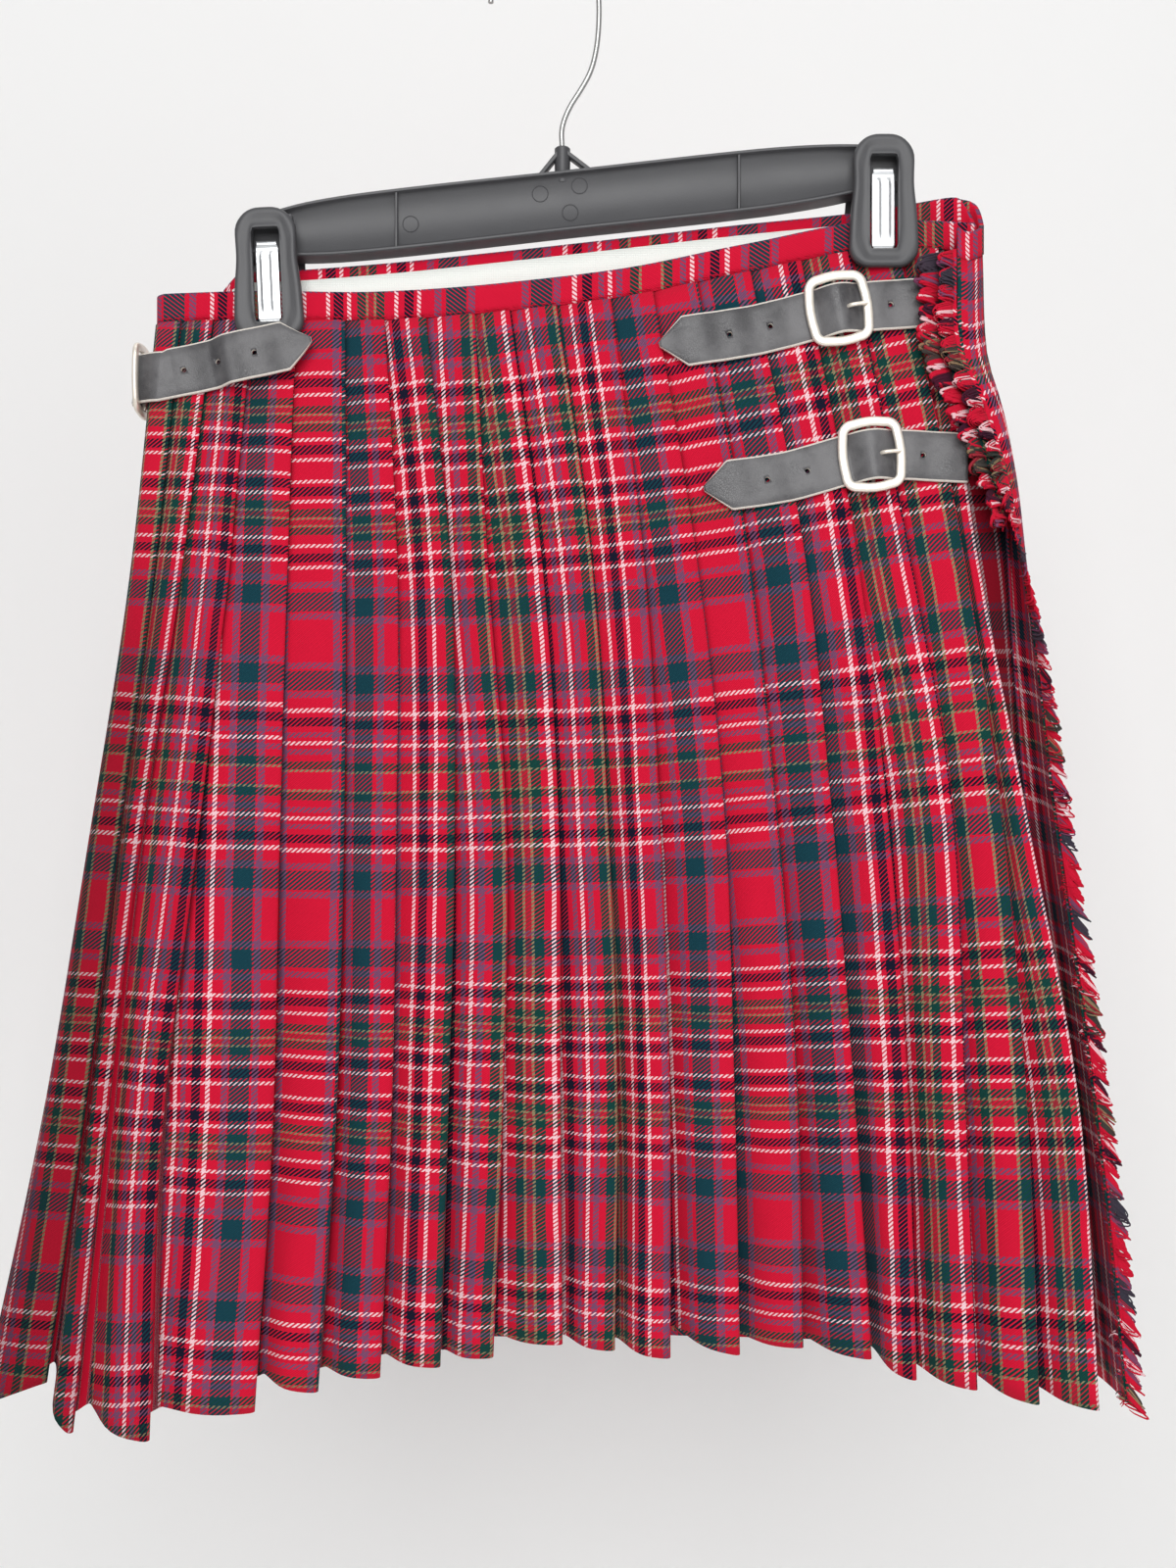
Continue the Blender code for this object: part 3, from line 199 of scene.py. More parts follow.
# Fringes: t where each ends, bundles of yarn down it, yarns in a bundle, start past the apron's edge,
# inwards from the apron, width of the woven strip, length and radius of a yarn, and shift of its colours in
# the tartan.
FRINGES = (
    ("fringe_edge", 1.0, 64, 16, 0.0004, 0.0, 0.0018, 0.0120, 0.00030, 0),
    ("fringe_strip", 0.245, 16, 12, -0.0020, 0.0022, 0.0120, 0.0150, 0.00054, 18),
)
STRIP_WALL = 0.0008
YARN_PLACE = 300.0  # place in the tartan of the loose yarns, which are its wefts
YARN_TAPER = (1.0, 1.0, 1.05, 1.1, 1.14, 1.15, 1.14, 1.1, 1.0, 0.85, 0.5)
STRIP_PLACE = 308.0  # place in the tartan of the strip's first thread
FRINGE_MARGIN = 0.004  # share of the drop that is left free at each end
BUNDLE_PULL = 0.2728  # how strongly a bundle's yarns draw together
FRINGE_TURN = ((0, 0), (0.22, 0), (0.5, 24), (1, 34))
FRINGE_DROOP = ((0, 0.10), (0.10, 0.16), (0.22, 0.45), (0.32, 0.90), (1, 1.15))

STAND_MOST = 0.009  # how far the outermost fold stands out at the hem
STRAP_WALL = 0.0020
STRAP_HALF = 0.0108
STRAP_POINT = 0.0110  # length of the tapered end, and the share of the width that its tip keeps
STRAP_BLUNT = 0.10
STRAP_WAVE = (0.00035, 210.0)  # height of the leather's slight waves, and how fast they follow each other
STRAP_CUP = (0.0004, 95.0)
STRAP_STEP = 0.0012
LEATHER_GAP = 0.0003
HOLE_RADIUS = 0.0011
# (x, z) of a strap's middle from root to point, its buckle's x, and its holes' x.
STRAPS_MM = (
    ("strap_right_upper", ((172, -156), (126, -160), (87, -169.5), (49, -176)), 125.5, (148, 96.5, 79)),
    ("strap_right_lower", ((180, -224), (139, -223), (102, -232), (68, -237)), 139.0, (161, 112, 95)),
)
STRAP_LEFT_TAIL_MM = ((-167, -188.5), (-131, -181), (-108, -176), (-99, -173.5))
STRAP_LEFT_HOLES_MM = (-123, -139, -154)
STRAP_LEFT_END_X = -0.146
STRAP_LEFT_SEWN = (-0.0155, -0.0020)  # the rows of stitches from that end, and their heights on the strap
STRAP_LEFT_ROWS = (-0.0085, -0.0030, 0.0030, 0.0085)
BACK_STEPS = 20
SIDE_STEPS = 32
SIDE_CLEAR = 0.0009
TAIL_FROM_CORNER = 0.0048
CLIP_LIFT = 0.0048
CLIP_LIFT_RUN = (-0.142, -0.134)
STITCH = 0.0024
STITCH_STEP = 0.0040
THREAD = 0.00026  # half its thickness
STITCH_TAPER = (0.5, 0.85, 1, 1, 1, 0.85, 0.5)
BULGE = 0.0042  # of the leather over a buckle's bar; a power below 1 makes it blunt
BULGE_POWER = 0.55
BULGE_INSET = 0.0008
SIDE_BULGE = 0.0040
BUCKLE_HALF_WIDE = 0.0115
BUCKLE_HALF_TALL = 0.0132
BUCKLE_CORNER = 0.0045
BUCKLE_WIRE = 0.0016
BUCKLE_BAR = 0.00096  # half its thickness
BAR_GAP_LEFT = 0.0007  # clear under the left buckle's bar
BAR_GAP_RIGHT = 0.0002
BUCKLE_SWELL = 0.0008
BUCKLE_OUT = STRAP_WALL + BUCKLE_WIRE + 3 * LEATHER_GAP
BUCKLE_BAND = 0.0020  # half the width of the cast frame
BUCKLE_THICK = 0.0012
PRONG_RADIUS = 0.0008
PRONG_HEEL = ((0.0030, 0.0040), (0.0042, 0.0014), (0.0052, 0.0006))  # from the bar, and below its highest run
PRONG_BEND = 0.0072
PRONG_TIP = (-0.0022, 0.0006)

# Hanger: the hook's line, and each clip's middle x, top and lean.
HOOK_STEM_MM = (
    (7.6, -94), (7.5, -86), (7.0, -78), (10.4, -69), (15.8, -61), (20.2, -53), (22.6, -43), (23.5, -32),
)  # fmt: skip
WIRE_RADIUS = 0.0012
CROWN_RADIUS = 0.0235
SHARP = 42  # degrees between faces of moulded plastic over which an edge looks sharp
BAR_SLOPE = math.tan(math.radians(6.3))
BAR_CENTRE_X = 0.0135
BAR_CENTRE_Z = -0.1106
BAR_SECTIONS = (
    (-0.1270, 0.0150), (-0.1030, 0.0232), (-0.0700, 0.0262), (0.0135, 0.0262),
    (0.0900, 0.0262), (0.1230, 0.0232), (0.1560, 0.0150),
)  # fmt: skip
BAR_HALF_DEEP = 0.0058
BAR_HALF_WEB = 0.0030
BAR_FLANGE = 0.0015
BAR_RIBS = (-0.0640, 0.0838)
BAR_RIB_HALF = 0.0006
BAR_MARK = 0.0034  # radius of a round mark
BAR_HALF_TALL = 0.0131
BAR_MARKS_MM = ((-58, -120.5), (-2, -107.5), (15, -104.0), (11, -115.5))
NECK_X = 0.0076
NECK_HALF = 0.0034
NECK_TOP = -0.0864
NECK_FEET = (-0.0030, 0.0206)
HOOK_BORE = 0.0016
CLIPS = (("clip_left", -0.1172, -0.1160, 0.045), ("clip_right", 0.1452, -0.0848, 0.0))
CLIP_TALL = 0.0566
CLIP_HALF = 0.0152
CLIP_TOP_HALF = 0.0128
CLIP_CORNERS = (0.0105, 0.0088)
CLIP_WAIST = 0.0008  # how far its sides draw in
CLIP_RIM_FAR_MM = {"clip_left": -139.4, "clip_right": -111.6}
JAW_FRONT = (-0.0126, -0.0094)
JAW_BACK = (0.0130, 0.0102)
JAW_OVERLAP = 0.0008  # of pads and ribs with their jaw
PAD_NEAR = -0.0067
PAD_FAR = 0.0074
PAD_X = (-0.0125, -0.0078)
PAD_TALL = 0.008
PAD_BELOW = 0.0015
RIB_X = 0.0100
RIB_HALF = 0.0016
RIB_Z = (-0.0070, 0.0050)
WINDOW_HALF = 0.0060
WINDOW_CORNER = 0.0012
JAW_POINTS = 96
# A section from a jaw's outline to its window or its middle: how far along it is, and the depth below the
# jaw's face, which round the outer edge is a share of the jaw's own.
JAW_EDGE = (1, 0.45, 0.20, 0.05)
JAW_SECTIONS_MM = {
    "front": (
        (0.0, 0.0, 0.03, 0.10),
        ((0.2, 0), (0.34, 0.1), (0.52, 0.5), (0.7, 0.6), (0.86, 0.4), (0.94, 0.2), (0.985, 0.3), (1, 0.7)),
    ),
    "back": ((0.0, 0.0, 0.02, 0.06), ((0.12, 0), (0.5, 0.2), (0.98, 0.2))),
}
WINDOW_TALL = 0.0402
WINDOW_DROP = 0.0088
SPRING_FRONT = -0.0091
SPRING_WALL = 0.0004
SPRING_HALF = 0.0050
SPRING_DROP = 0.0140
SPRING_END = 0.0498

# The tartan's threads, as places across half of its repeat in units of which SETT_PER_MM go to a millimetre.
# It turns back on itself at 0 and at SETT_HALF.
SETT_PER_MM = 2.38
SETT_HALF = 316.0
SETT = (
    (0, "red"), (9, "white"), (13, "red"), (16.5, "navy"), (25.5, "red"), (29, "white"), (33, "red"),
    (39, "green"), (47, "yellow"), (49.3, "dull"), (54.7, "yellow"), (57, "green"), (65, "red"),
    (74, "white"), (78, "red"), (83.5, "navy"), (92.5, "red"), (96, "white"), (100, "red"),
    (112.5, "blue"), (119.5, "red"), (123.5, "teal"), (142.8, "red"), (144.6, "blue"),
    (151.5, "red"), (195, "blue"), (201.3, "red"), (203, "teal"), (223, "red"), (224.7, "blue"),
    (231, "red"), (242, "white"), (246, "red"),
    (251.5, "navy"), (260.5, "red"), (266.5, "blue"), (271.5, "red"), (275, "white"), (279, "red"),
    (283, "blue"), (289, "red"), (296, "green"), (304, "yellow"), (306.5, "red"),
)  # fmt: skip
SETT_SPLIT = 151.5  # the place of a stripe, where the second of two ramps takes over
YARNS = {
    "red": (0.620, 0.006, 0.034),
    "white": (0.90, 0.60, 0.64),
    "navy": (0.006, 0.007, 0.022),
    "green": (0.004, 0.050, 0.041),
    "yellow": (0.260, 0.220, 0.120),
    "dull": (0.300, 0.022, 0.034),
    "blue": (0.180, 0.062, 0.135),
    "teal": (0.005, 0.044, 0.062),
}
TWILL_ACROSS = 5.15  # between diagonals of the twill, across and down the cloth, in the tartan's units
TWILL_DOWN = 4.50
PER_METRE = SETT_PER_MM / MM
WEFT_ON_TOP = (0.42, 0.70)  # where across a diagonal the weft starts to show, and where it hides the warp
RED_GIVES_WAY = 0.31  # how much of that a bright red thread loses to one that isn't red
TWILL_GROOVE = 0.56
PAINTED_SHADE_STRENGTH = 0.62  # how much painted shade darkens the cloth where it lies deep in a fold
SHED_RED = (0.52, 0.022, 0.050)  # the colour of the shed fibres on the loose yarns
PAINTED_SHADE_REACH = 0.0026  # from a fold to where the painted shade on the next pleat's face ends

# The band's tartan: its place where the near side passes BAND_X, its width against the cloth's own, and the
# place of its upper edge.
BAND_PLACE = 173.0
BAND_X = -0.018
BAND_WIDTH = 0.92
BAND_DOWN = 150.0
BAND_TURN_BACK = 0.006
BAND_STEPS = 25
BAND_SEWN = 0.0011  # the stitches' height over the band's lower edge

# ---------------------------------------------------------------- materials


class Signal:
    """A value in a material: an expression on it adds the nodes that work it out."""

    def __init__(self, finish, socket):
        self.finish = finish
        self.socket = socket

    def math(self, operation, *others):
        return self.finish.node("ShaderNodeMath", {"operation": operation}, (self, *others))

    def __rsub__(self, other):
        return self.finish.node("ShaderNodeMath", {"operation": "SUBTRACT"}, (other, self))


for sign, operation in {
    "__add__": "ADD", "__radd__": "ADD", "__sub__": "SUBTRACT", "__mul__": "MULTIPLY", "__rmul__": "MULTIPLY",
    "__truediv__": "DIVIDE", "__gt__": "GREATER_THAN",
}.items():  # fmt: skip
    setattr(Signal, sign, lambda self, other, operation=operation: self.math(operation, other))


class Finish:
    """A material, with one method that adds a node of any type."""

    def __init__(self, name, **constants):
        self.material = bpy.data.materials.new(name)
        self.material.use_nodes = True
        self.tree = self.material.node_tree
        self.shader = self.tree.nodes["Principled BSDF"]
        self.set(**constants)

    def set(self, **values):
        """Sets the shader's sockets, named with _ for a space, to constants or to signals."""
        for name, value in values.items():
            self.feed(self.shader.inputs[name.replace("_", " ")], value)

    def feed(self, socket, value):
        if isinstance(value, Signal):
            self.tree.links.new(value.socket, socket)
        elif isinstance(value, (tuple, list)) and socket.type == "RGBA":
            socket.default_value = (*value, 1.0)[:4]
        else:
            socket.default_value = value

    def node(self, kind, settings=None, sockets=(), output=0):
        """A node of this type. settings are its own properties, or the stops of its ramp; sockets are values
        or signals for its inputs, in order or by name."""
        made = self.tree.nodes.new(kind)
        for name, value in (settings or {}).items():
            if name != "stops":
                setattr(made, name, value)
                continue
            stops = made.color_ramp.elements
            while len(stops) > 1:
                stops.remove(stops[-1])
            for i, (place, colour) in enumerate(value):
                stop = stops[0] if i == 0 else stops.new(place)
                stop.position = place
                stop.color = (*colour, 1.0)
        for key, value in sockets.items() if isinstance(sockets, dict) else enumerate(sockets):
            self.feed(made.inputs[key], value)
        return Signal(self, made.outputs[output])

    def mix(self, share, low, high):
        """Colour low where share is 0 and high where it is 1."""
        return self.node("ShaderNodeMix", {"data_type": "RGBA"}, {0: share, 6: low, 7: high}, 2)

    def place(self):
        return self.node("ShaderNodeTexCoord", output=3)

    def noise(self, scale, detail=2.0, rough=0.5):
        sockets = {"Vector": self.place(), "Scale": scale, "Detail": detail, "Roughness": rough}
        return self.node("ShaderNodeTexNoise", {}, sockets)

    def smooth(self, value, low, high):
        """0 below low, 1 above high, eased between."""
        sockets = {"Value": value, "From Min": low, "From Max": high}
        return self.node("ShaderNodeMapRange", {"interpolation_type": "SMOOTHSTEP"}, sockets)

    def bump(self, height, strength, distance):
        return self.node("ShaderNodeBump", {}, {"Height": height, "Strength": strength, "Distance": distance})

    def done(self, share, colours, height, strength, roughness=None, distance=0.0003):
        """The material, with its colour by share between two, and its relief."""
        self.set(Base_Color=self.mix(share, *colours), Normal=self.bump(height, strength, distance))
        if roughness:
            self.set(Roughness=roughness)
        return self.material


def stripes(finish, place):
    """The colour of a thread at a place in the tartan, from two ramps, since one holds too few stripes."""
    folded = place.math("PINGPONG", SETT_HALF)
    ramps = []
    for start, end in ((0.0, SETT_SPLIT), (SETT_SPLIT, SETT_HALF)):
        stops = [((at - start) / (end - start), YARNS[yarn]) for at, yarn in SETT if start <= at < end]
        share = (folded - start) / (end - start)
        ramps.append(finish.node("ShaderNodeValToRGB", {"stops": stops}, (share,)))
        ramps[-1].socket.node.color_ramp.interpolation = "CONSTANT"
    return finish.mix(folded > SETT_SPLIT, *ramps)


def tartan_finish(name, wefts_only=False):
    """Wool twill whose warp and weft both follow the tartan. The UV map holds both places in it."""
    finish = Finish(name, Roughness=0.88, Sheen_Weight=0.03, Sheen_Roughness=0.5, Specular_IOR_Level=0.12)
    places = finish.node("ShaderNodeUVMap", {"uv_map": "tartan"})
    across, down = (finish.node("ShaderNodeSeparateXYZ", {}, (places,), k) for k in (0, 1))
    slow = finish.noise(70.0)
    uneven = finish.noise(9.0)
    fibre = finish.noise(2400.0, 3.0, rough=0.7)
    wander = (slow - 0.5) * 1.8 + (fibre - 0.5) * 1.6
    weft = stripes(finish, down + wander)
    tone = 0.74 + fibre * 0.20 + slow * 0.10 + uneven * 0.10
    if wefts_only:
        # Loose yarns shed fibres on each other, so all of them look a little redder.
        colour, height = finish.mix(0.02 + slow * 0.16, weft, SHED_RED), fibre
    else:
        warp = stripes(finish, across + wander)
        phase = across / TWILL_ACROSS + down / TWILL_DOWN + (slow - 0.5) * 0.35
        wave = phase.math("FRACT").math("PINGPONG", 0.5) * 2
        # A bright red thread gives way to a darker or a paler one that crosses it.
        redness = []
        for yarn in (warp, weft):
            red, green = (finish.node("ShaderNodeSeparateColor", {}, (yarn,), k) for k in (0, 1))
            redness.append(red - green)
        on_top = finish.smooth(wave + (redness[0] - redness[1]) * RED_GIVES_WAY, *WEFT_ON_TOP)
        colour = finish.mix(on_top, warp, weft)
        # Each diagonal is highest along its middle; the bump sinks the groove between two of them and painted
        # shade darkens it.
        shade = finish.smooth((wave - TWILL_GROOVE).math("ABSOLUTE"), 0.0, 0.16)
        tone = tone * (0.72 + shade * 0.34)
        # Painted shade: a point attribute darkens the cloth deep in the folds and on the first pleats.
        painted_shade = finish.node("ShaderNodeAttribute", {"attribute_name": "painted_shade"}, output=2)
        tone = tone * (1 - painted_shade * PAINTED_SHADE_STRENGTH)
        height = shade * 0.75 + fibre * 0.35
    grey = finish.node("ShaderNodeCombineXYZ", {}, (tone, tone, tone))
    shaded = finish.node("ShaderNodeVectorMath", {"operation": "MULTIPLY"}, (colour, grey))
    finish.set(Base_Color=shaded, Normal=finish.bump(height, 0.45, 0.0004))
    return finish.material


def leather_finish():
    finish = Finish("strap_leather", Specular_IOR_Level=0.5, Coat_Weight=0.22, Coat_Roughness=0.28)
    pores = {"Vector": finish.place(), "Scale": 1100.0}
    cells = finish.node("ShaderNodeTexVoronoi", {"feature": "DISTANCE_TO_EDGE"}, pores)
    grain = finish.smooth(cells, 0.0, 0.12)
    cloudy = finish.noise(42.0, 4.0, rough=0.6)
    worn = finish.smooth(cloudy, 0.34, 0.66)
    colours = ((0.045, 0.043, 0.047), (0.130, 0.127, 0.132))
    return finish.done(worn, colours, grain + cloudy * 1.5, 0.26, 0.34 + worn * 0.22)


def raw_edge_finish():
    finish = Finish("strap_cut_edge", Roughness=0.85)
    fibre = finish.noise(900.0, 3.0)
    return finish.done(fibre, ((0.55, 0.50, 0.44), (0.80, 0.76, 0.70)), fibre, 0.4)


def cotton_finish():
    finish = Finish("lining_cotton", Roughness=0.9, Sheen_Weight=0.1)
    weave = {"Vector": finish.place(), "Scale": 320.0, "Distortion": 0.6}
    bands = [{"wave_type": "BANDS", "bands_direction": way} for way in "XZ"]
    threads, picks = (finish.node("ShaderNodeTexWave", settings, weave) for settings in bands)
    cloudy = finish.noise(70.0, 3.0)
    height = threads * 0.5 + picks * 0.5 + cloudy * 2.0
    # Painted light: the colours are pale and tinted green, so that the red light bounced from the tartan
    # leaves the lining cream.
    return finish.done(cloudy, ((0.90, 0.93, 0.88), (0.97, 0.98, 0.94)), height, 0.4, distance=0.0004)


def nickel_finish():
    """Cast metal with a pale satin plating, a little yellowed."""
    finish = Finish("buckle_nickel", Metallic=0.55, Specular_IOR_Level=0.7)
    cloudy = finish.noise(260.0, 3.0)
    worn = finish.noise(60.0, 4.0)
    colours = ((0.80, 0.72, 0.60), (0.96, 0.91, 0.84))
    return finish.done(worn, colours, cloudy + worn, 0.10, 0.26 + cloudy * 0.16, 0.0004)


def steel_finish(name, colour, roughness):
    finish = Finish(name, Metallic=1.0)
    drawn = finish.noise(700.0)
    colours = ([c * 0.88 for c in colour], colour)
    return finish.done(drawn, colours, drawn, 0.05, roughness + drawn * 0.12)


def plastic_finish(name, colour, roughness):
    finish = Finish(name, Specular_IOR_Level=0.5)
    pebble = finish.noise(1600.0)
    cloudy = finish.noise(45.0, 3.0)
    colours = (colour, [c * 1.35 for c in colour])
    return finish.done(cloudy, colours, pebble + cloudy, 0.12, roughness + cloudy * 0.15)


# ---------------------------------------------------------------- the garment's surface


def clamped(value, low=0.0, high=1.0):
    return min(max(value, low), high)


def smoothed(s):
    """A share, or an array of them, eased at 0 and 1."""
    return s * s * (3 - 2 * s)


def eased(value, start, end):
    """0 at start and 1 at end, smooth between."""
    return smoothed(clamped((value - start) / (end - start)))


def along(values, t):
    """A value that runs smoothly through evenly spaced ones, on Catmull-Rom curves, t from 0 to 1."""
    place = clamped(t) * (len(values) - 1)
    i = min(int(place), len(values) - 2)
    p1, p2, s = values[i], values[i + 1], place - i
    p0 = values[i - 1] if i else 2 * p1 - p2
    p3 = values[i + 2] if i + 2 < len(values) else 2 * p2 - p1
    square, cube = 2 * p0 - 5 * p1 + 4 * p2 - p3, 3 * p1 - p0 - 3 * p2 + p3
    return 0.5 * (2 * p1 + (p2 - p0) * s + square * s * s + cube * s**3)


def millimetres(values, t):
    """The same for a table of millimetres, in metres."""
    return along(values, t) * MM


def curve_at(points, x):
    """The second value at x, on straight lines through (x, value) points."""
    return float(np.interp(x, *zip(*points)))


def eased_at(points, x):
    """The second value at x, on a smooth curve through (x, value) points."""
    last = len(points) - 2
    i = next((i for i in range(last) if x <= points[i + 1][0]), last)
    (x0, y0), (x1, y1) = points[i], points[i + 1]
    run = x1 - x0
    s = clamped((x - x0) / run)
    slope = (y1 - y0) / run
    first = slope if i == 0 else (y1 - points[i - 1][1]) / (x1 - points[i - 1][0])
    second = slope if i == last else (points[i + 2][1] - y0) / (points[i + 2][0] - x0)
    r = 1 - s
    return y0 * r * r * (1 + 2 * s) + first * run * s * r * r + y1 * smoothed(s) - second * run * s * s * r


def half_way(x):
    return (x - MIDDLE_X) / HALF_WIDTH


def slack(x, t):
    """How far the pleated side bellies out between the clips, most at the waist."""
    s = min(abs(x - SLACK_X) / SLACK_REACH, 1.0)
    return SLACK * math.cos(math.pi / 2 * s) ** 2 * (1 - t) ** 2


def near_y(x, t):
    return millimetres(NEAR_MM, t) - millimetres(CURL_NEAR_MM, t) * half_way(x) ** 2 - slack(x, t)


def far_y(x, t):
    return millimetres(FAR_MM, t) - millimetres(CURL_FAR_MM, t) * half_way(x) ** 2


def crease(table, x, z, t):
    """How far the cloth stands out at x and z, arrays in metres, at share t."""
    total = np.zeros(np.shape(x))
    for x0, z0, x1, z1, wide, height in table:
        run = np.array((x1 - x0, z1 - z0)) * MM
        dx, dz = x - x0 * MM, z - z0 * MM
        s = np.clip((dx * run[0] + dz * run[1]) / (run @ run), 0, 1)
        apart = np.hypot(dx - s * run[0], dz - s * run[1])
        total += height * MM * np.exp(-((apart / (wide * MM)) ** 2))
    inset = np.minimum(x - corner_x(-1, t), corner_x(1, t) - x)
    fade = np.clip((inset - CREASE_INSET) / CREASE_FADE, 0, 1)
    return total * smoothed(fade) * min(t / CREASE_TOP, 1.0)


def rim_near(x):
    return millimetres(RIM_NEAR_MM, (x - RIM_LEFT) / (RIM_RIGHT - RIM_LEFT))


def rim_far(x):
    return millimetres(RIM_FAR_MM, (x - RIM_LEFT) / (RIM_RIGHT - RIM_LEFT)) - FAR_DROP * eased(x, *FAR_DROP_X)


def rim(x, share=0.0):
    """z of the waist's top edge, for a share from 0 on the near side to 1 on the far side."""
    return rim_near(x) * (1 - share) + rim_far(x) * share


def seam_z(x, share=0.0):
    """z of the cloth's top, just below the waistband."""
    return rim(x, share) - BAND_HEIGHT - SEAM_GAP


def end_drop(y, x):
    """How much lower the outer apron's end hangs than the layers under it, at the right side's near half."""
    return END_DROP * eased(x, *END_DROP_X) * eased(y, *END_DROP_Y)


def corner_x(side, t):
    if side < 0:
        return (along(LEFT_MM, t) + along(ROUND_LEFT_MM, t)) * MM
    return (along(RIGHT_MM, t) - along(ROUND_RIGHT_MM, t)) * MM


def side_point(side, angle, t, out):
    """(x, y) on the rounded side: angle 0 is the near corner, pi the far one, and out moves outwards."""
    corner = corner_x(side, t)
    bulge = along(ROUND_LEFT_MM if side < 0 else ROUND_RIGHT_MM, t) * MM
    near = near_y(corner, t)
    far = far_y(corner, t)
    half = (far - near) / 2
    x = corner + side * (bulge + out) * math.sin(angle)
    y = (near + far) / 2 - (half + out) * math.cos(angle)
    return x, y


def far_share(angle):
    """0 on the near side, 1 on the far side, eased round the side."""
    return (1 - math.cos(angle)) / 2


def offset_line(points, distance):
    """The line of (x, y) points moved to its left by distance, with mitred corners."""
    line = np.asarray([tuple(p)[:2] for p in points], float)
    step = np.diff(line, axis=0)
    step /= np.maximum(np.linalg.norm(step, axis=1, keepdims=True), 1e-12)
    before = np.vstack([step[:1], step])
    after = np.vstack([step, step[-1:]])
    bisector = np.column_stack([-before[:, 1] - after[:, 1], before[:, 0] + after[:, 0]])
    bisector /= np.maximum(np.linalg.norm(bisector, axis=1, keepdims=True), 1e-12)
    reach = distance / np.maximum(bisector[:, 0] * -before[:, 1] + bisector[:, 1] * before[:, 0], 0.5)
    return line + bisector * reach[:, None]


def rounded_line(points, per_span):
    """Points on a smooth curve that touches the middle of each side of a line, and keeps the line's ends."""
    line = np.asarray(points, float)
    middles = (line[:-1] + line[1:]) / 2
    starts = np.vstack([line[:1], middles])[:, None]
    ends = np.vstack([middles, line[-1:]])[:, None]
    s = (np.arange(1, per_span + 1) / per_span)[:, None]
    made = starts * (1 - s) ** 2 + line[:, None] * 2 * s * (1 - s) + ends * s * s
    made[0] = starts[0] * (1 - s) + ends[0] * s
    return np.vstack([line[:1], made.reshape(-1, line.shape[1])])


# ---------------------------------------------------------------- cloth


def placed(name, data):
    """A new object with this mesh, light or camera."""
    made = bpy.data.objects.new(name, data)
    bpy.context.scene.collection.objects.link(made)
    return made


def map_places(mesh, places):
    """Keeps each point's two places in the tartan as the mesh's UV map."""
    corners = np.empty(len(mesh.loops), np.int32)
    mesh.loops.foreach_get("vertex_index", corners)
    mesh.uv_layers.new(name="tartan").data.foreach_set("uv", places[corners].astype(np.float32).ravel())


def slab_faces(count, wide):
    """Faces of a closed slab between two grids of points, each of count rows of this many points."""
    total = count * wide
    place = np.arange(total).reshape(count, wide)
    a, b, c, d = place[:-1, :-1], place[:-1, 1:], place[1:, 1:], place[1:, :-1]
    faces = np.stack([a, d, c, b], axis=-1).reshape(-1, 4).tolist()
    faces += (np.stack([a, b, c, d], axis=-1).reshape(-1, 4) + total).tolist()
    for edge, flip in ((place[:, 0], False), (place[:, -1], True), (place[0], True), (place[-1], False)):
        for p, q in zip(edge.tolist(), edge[1:].tolist()):
            quad = (p, p + total, q + total, q)
            faces.append(quad[::-1] if flip else quad)
    return faces


def shell(name, rows, thickness, finish):
    """A thin closed piece of cloth. rows[i][j] is (x, y, z, across, down) on its middle, from top to hem, and
    a sixth value is how much painted shade darkens it, deep in a fold or on the first pleats, from 0 to 1."""
    rows = np.asarray(rows, float)
    count, wide = rows.shape[:2]
    sides = []
    for side in (0.5, -0.5):
        flat = [offset_line(row[:, :2], thickness * side) for row in rows]
        sides.append(np.dstack([flat, rows[:, :, 2]]).reshape(-1, 3))
    mesh = bpy.data.meshes.new(name)
    mesh.from_pydata(np.vstack(sides).tolist(), [], slab_faces(count, wide))
    map_places(mesh, np.vstack([rows[:, :, 3:5].reshape(-1, 2)] * 2))
    # The painted shade is kept on both faces as a point attribute, which the tartan's colour reads.
    deep = rows[:, :, 5].ravel() if rows.shape[2] > 5 else np.zeros(count * wide)
    painted_shade = mesh.attributes.new("painted_shade", "FLOAT", "POINT")
    painted_shade.data.foreach_set("value", np.tile(deep, 2).astype(np.float32))
    mesh.shade_smooth()
    mesh.materials.append(finish)
    return placed(name, mesh)


def row_shares():
    return [i / (ROWS - 1) for i in range(ROWS)]


def arcs(points):
    """Distance along a line of points from its start to each of them."""
    steps = np.linalg.norm(np.diff(np.asarray(points, float), axis=0), axis=1)
    return np.concatenate([[0.0], np.cumsum(steps)])


def pleat_column(index, t):
    return millimetres(PLEATS_MM[index][:STATIONS], t)


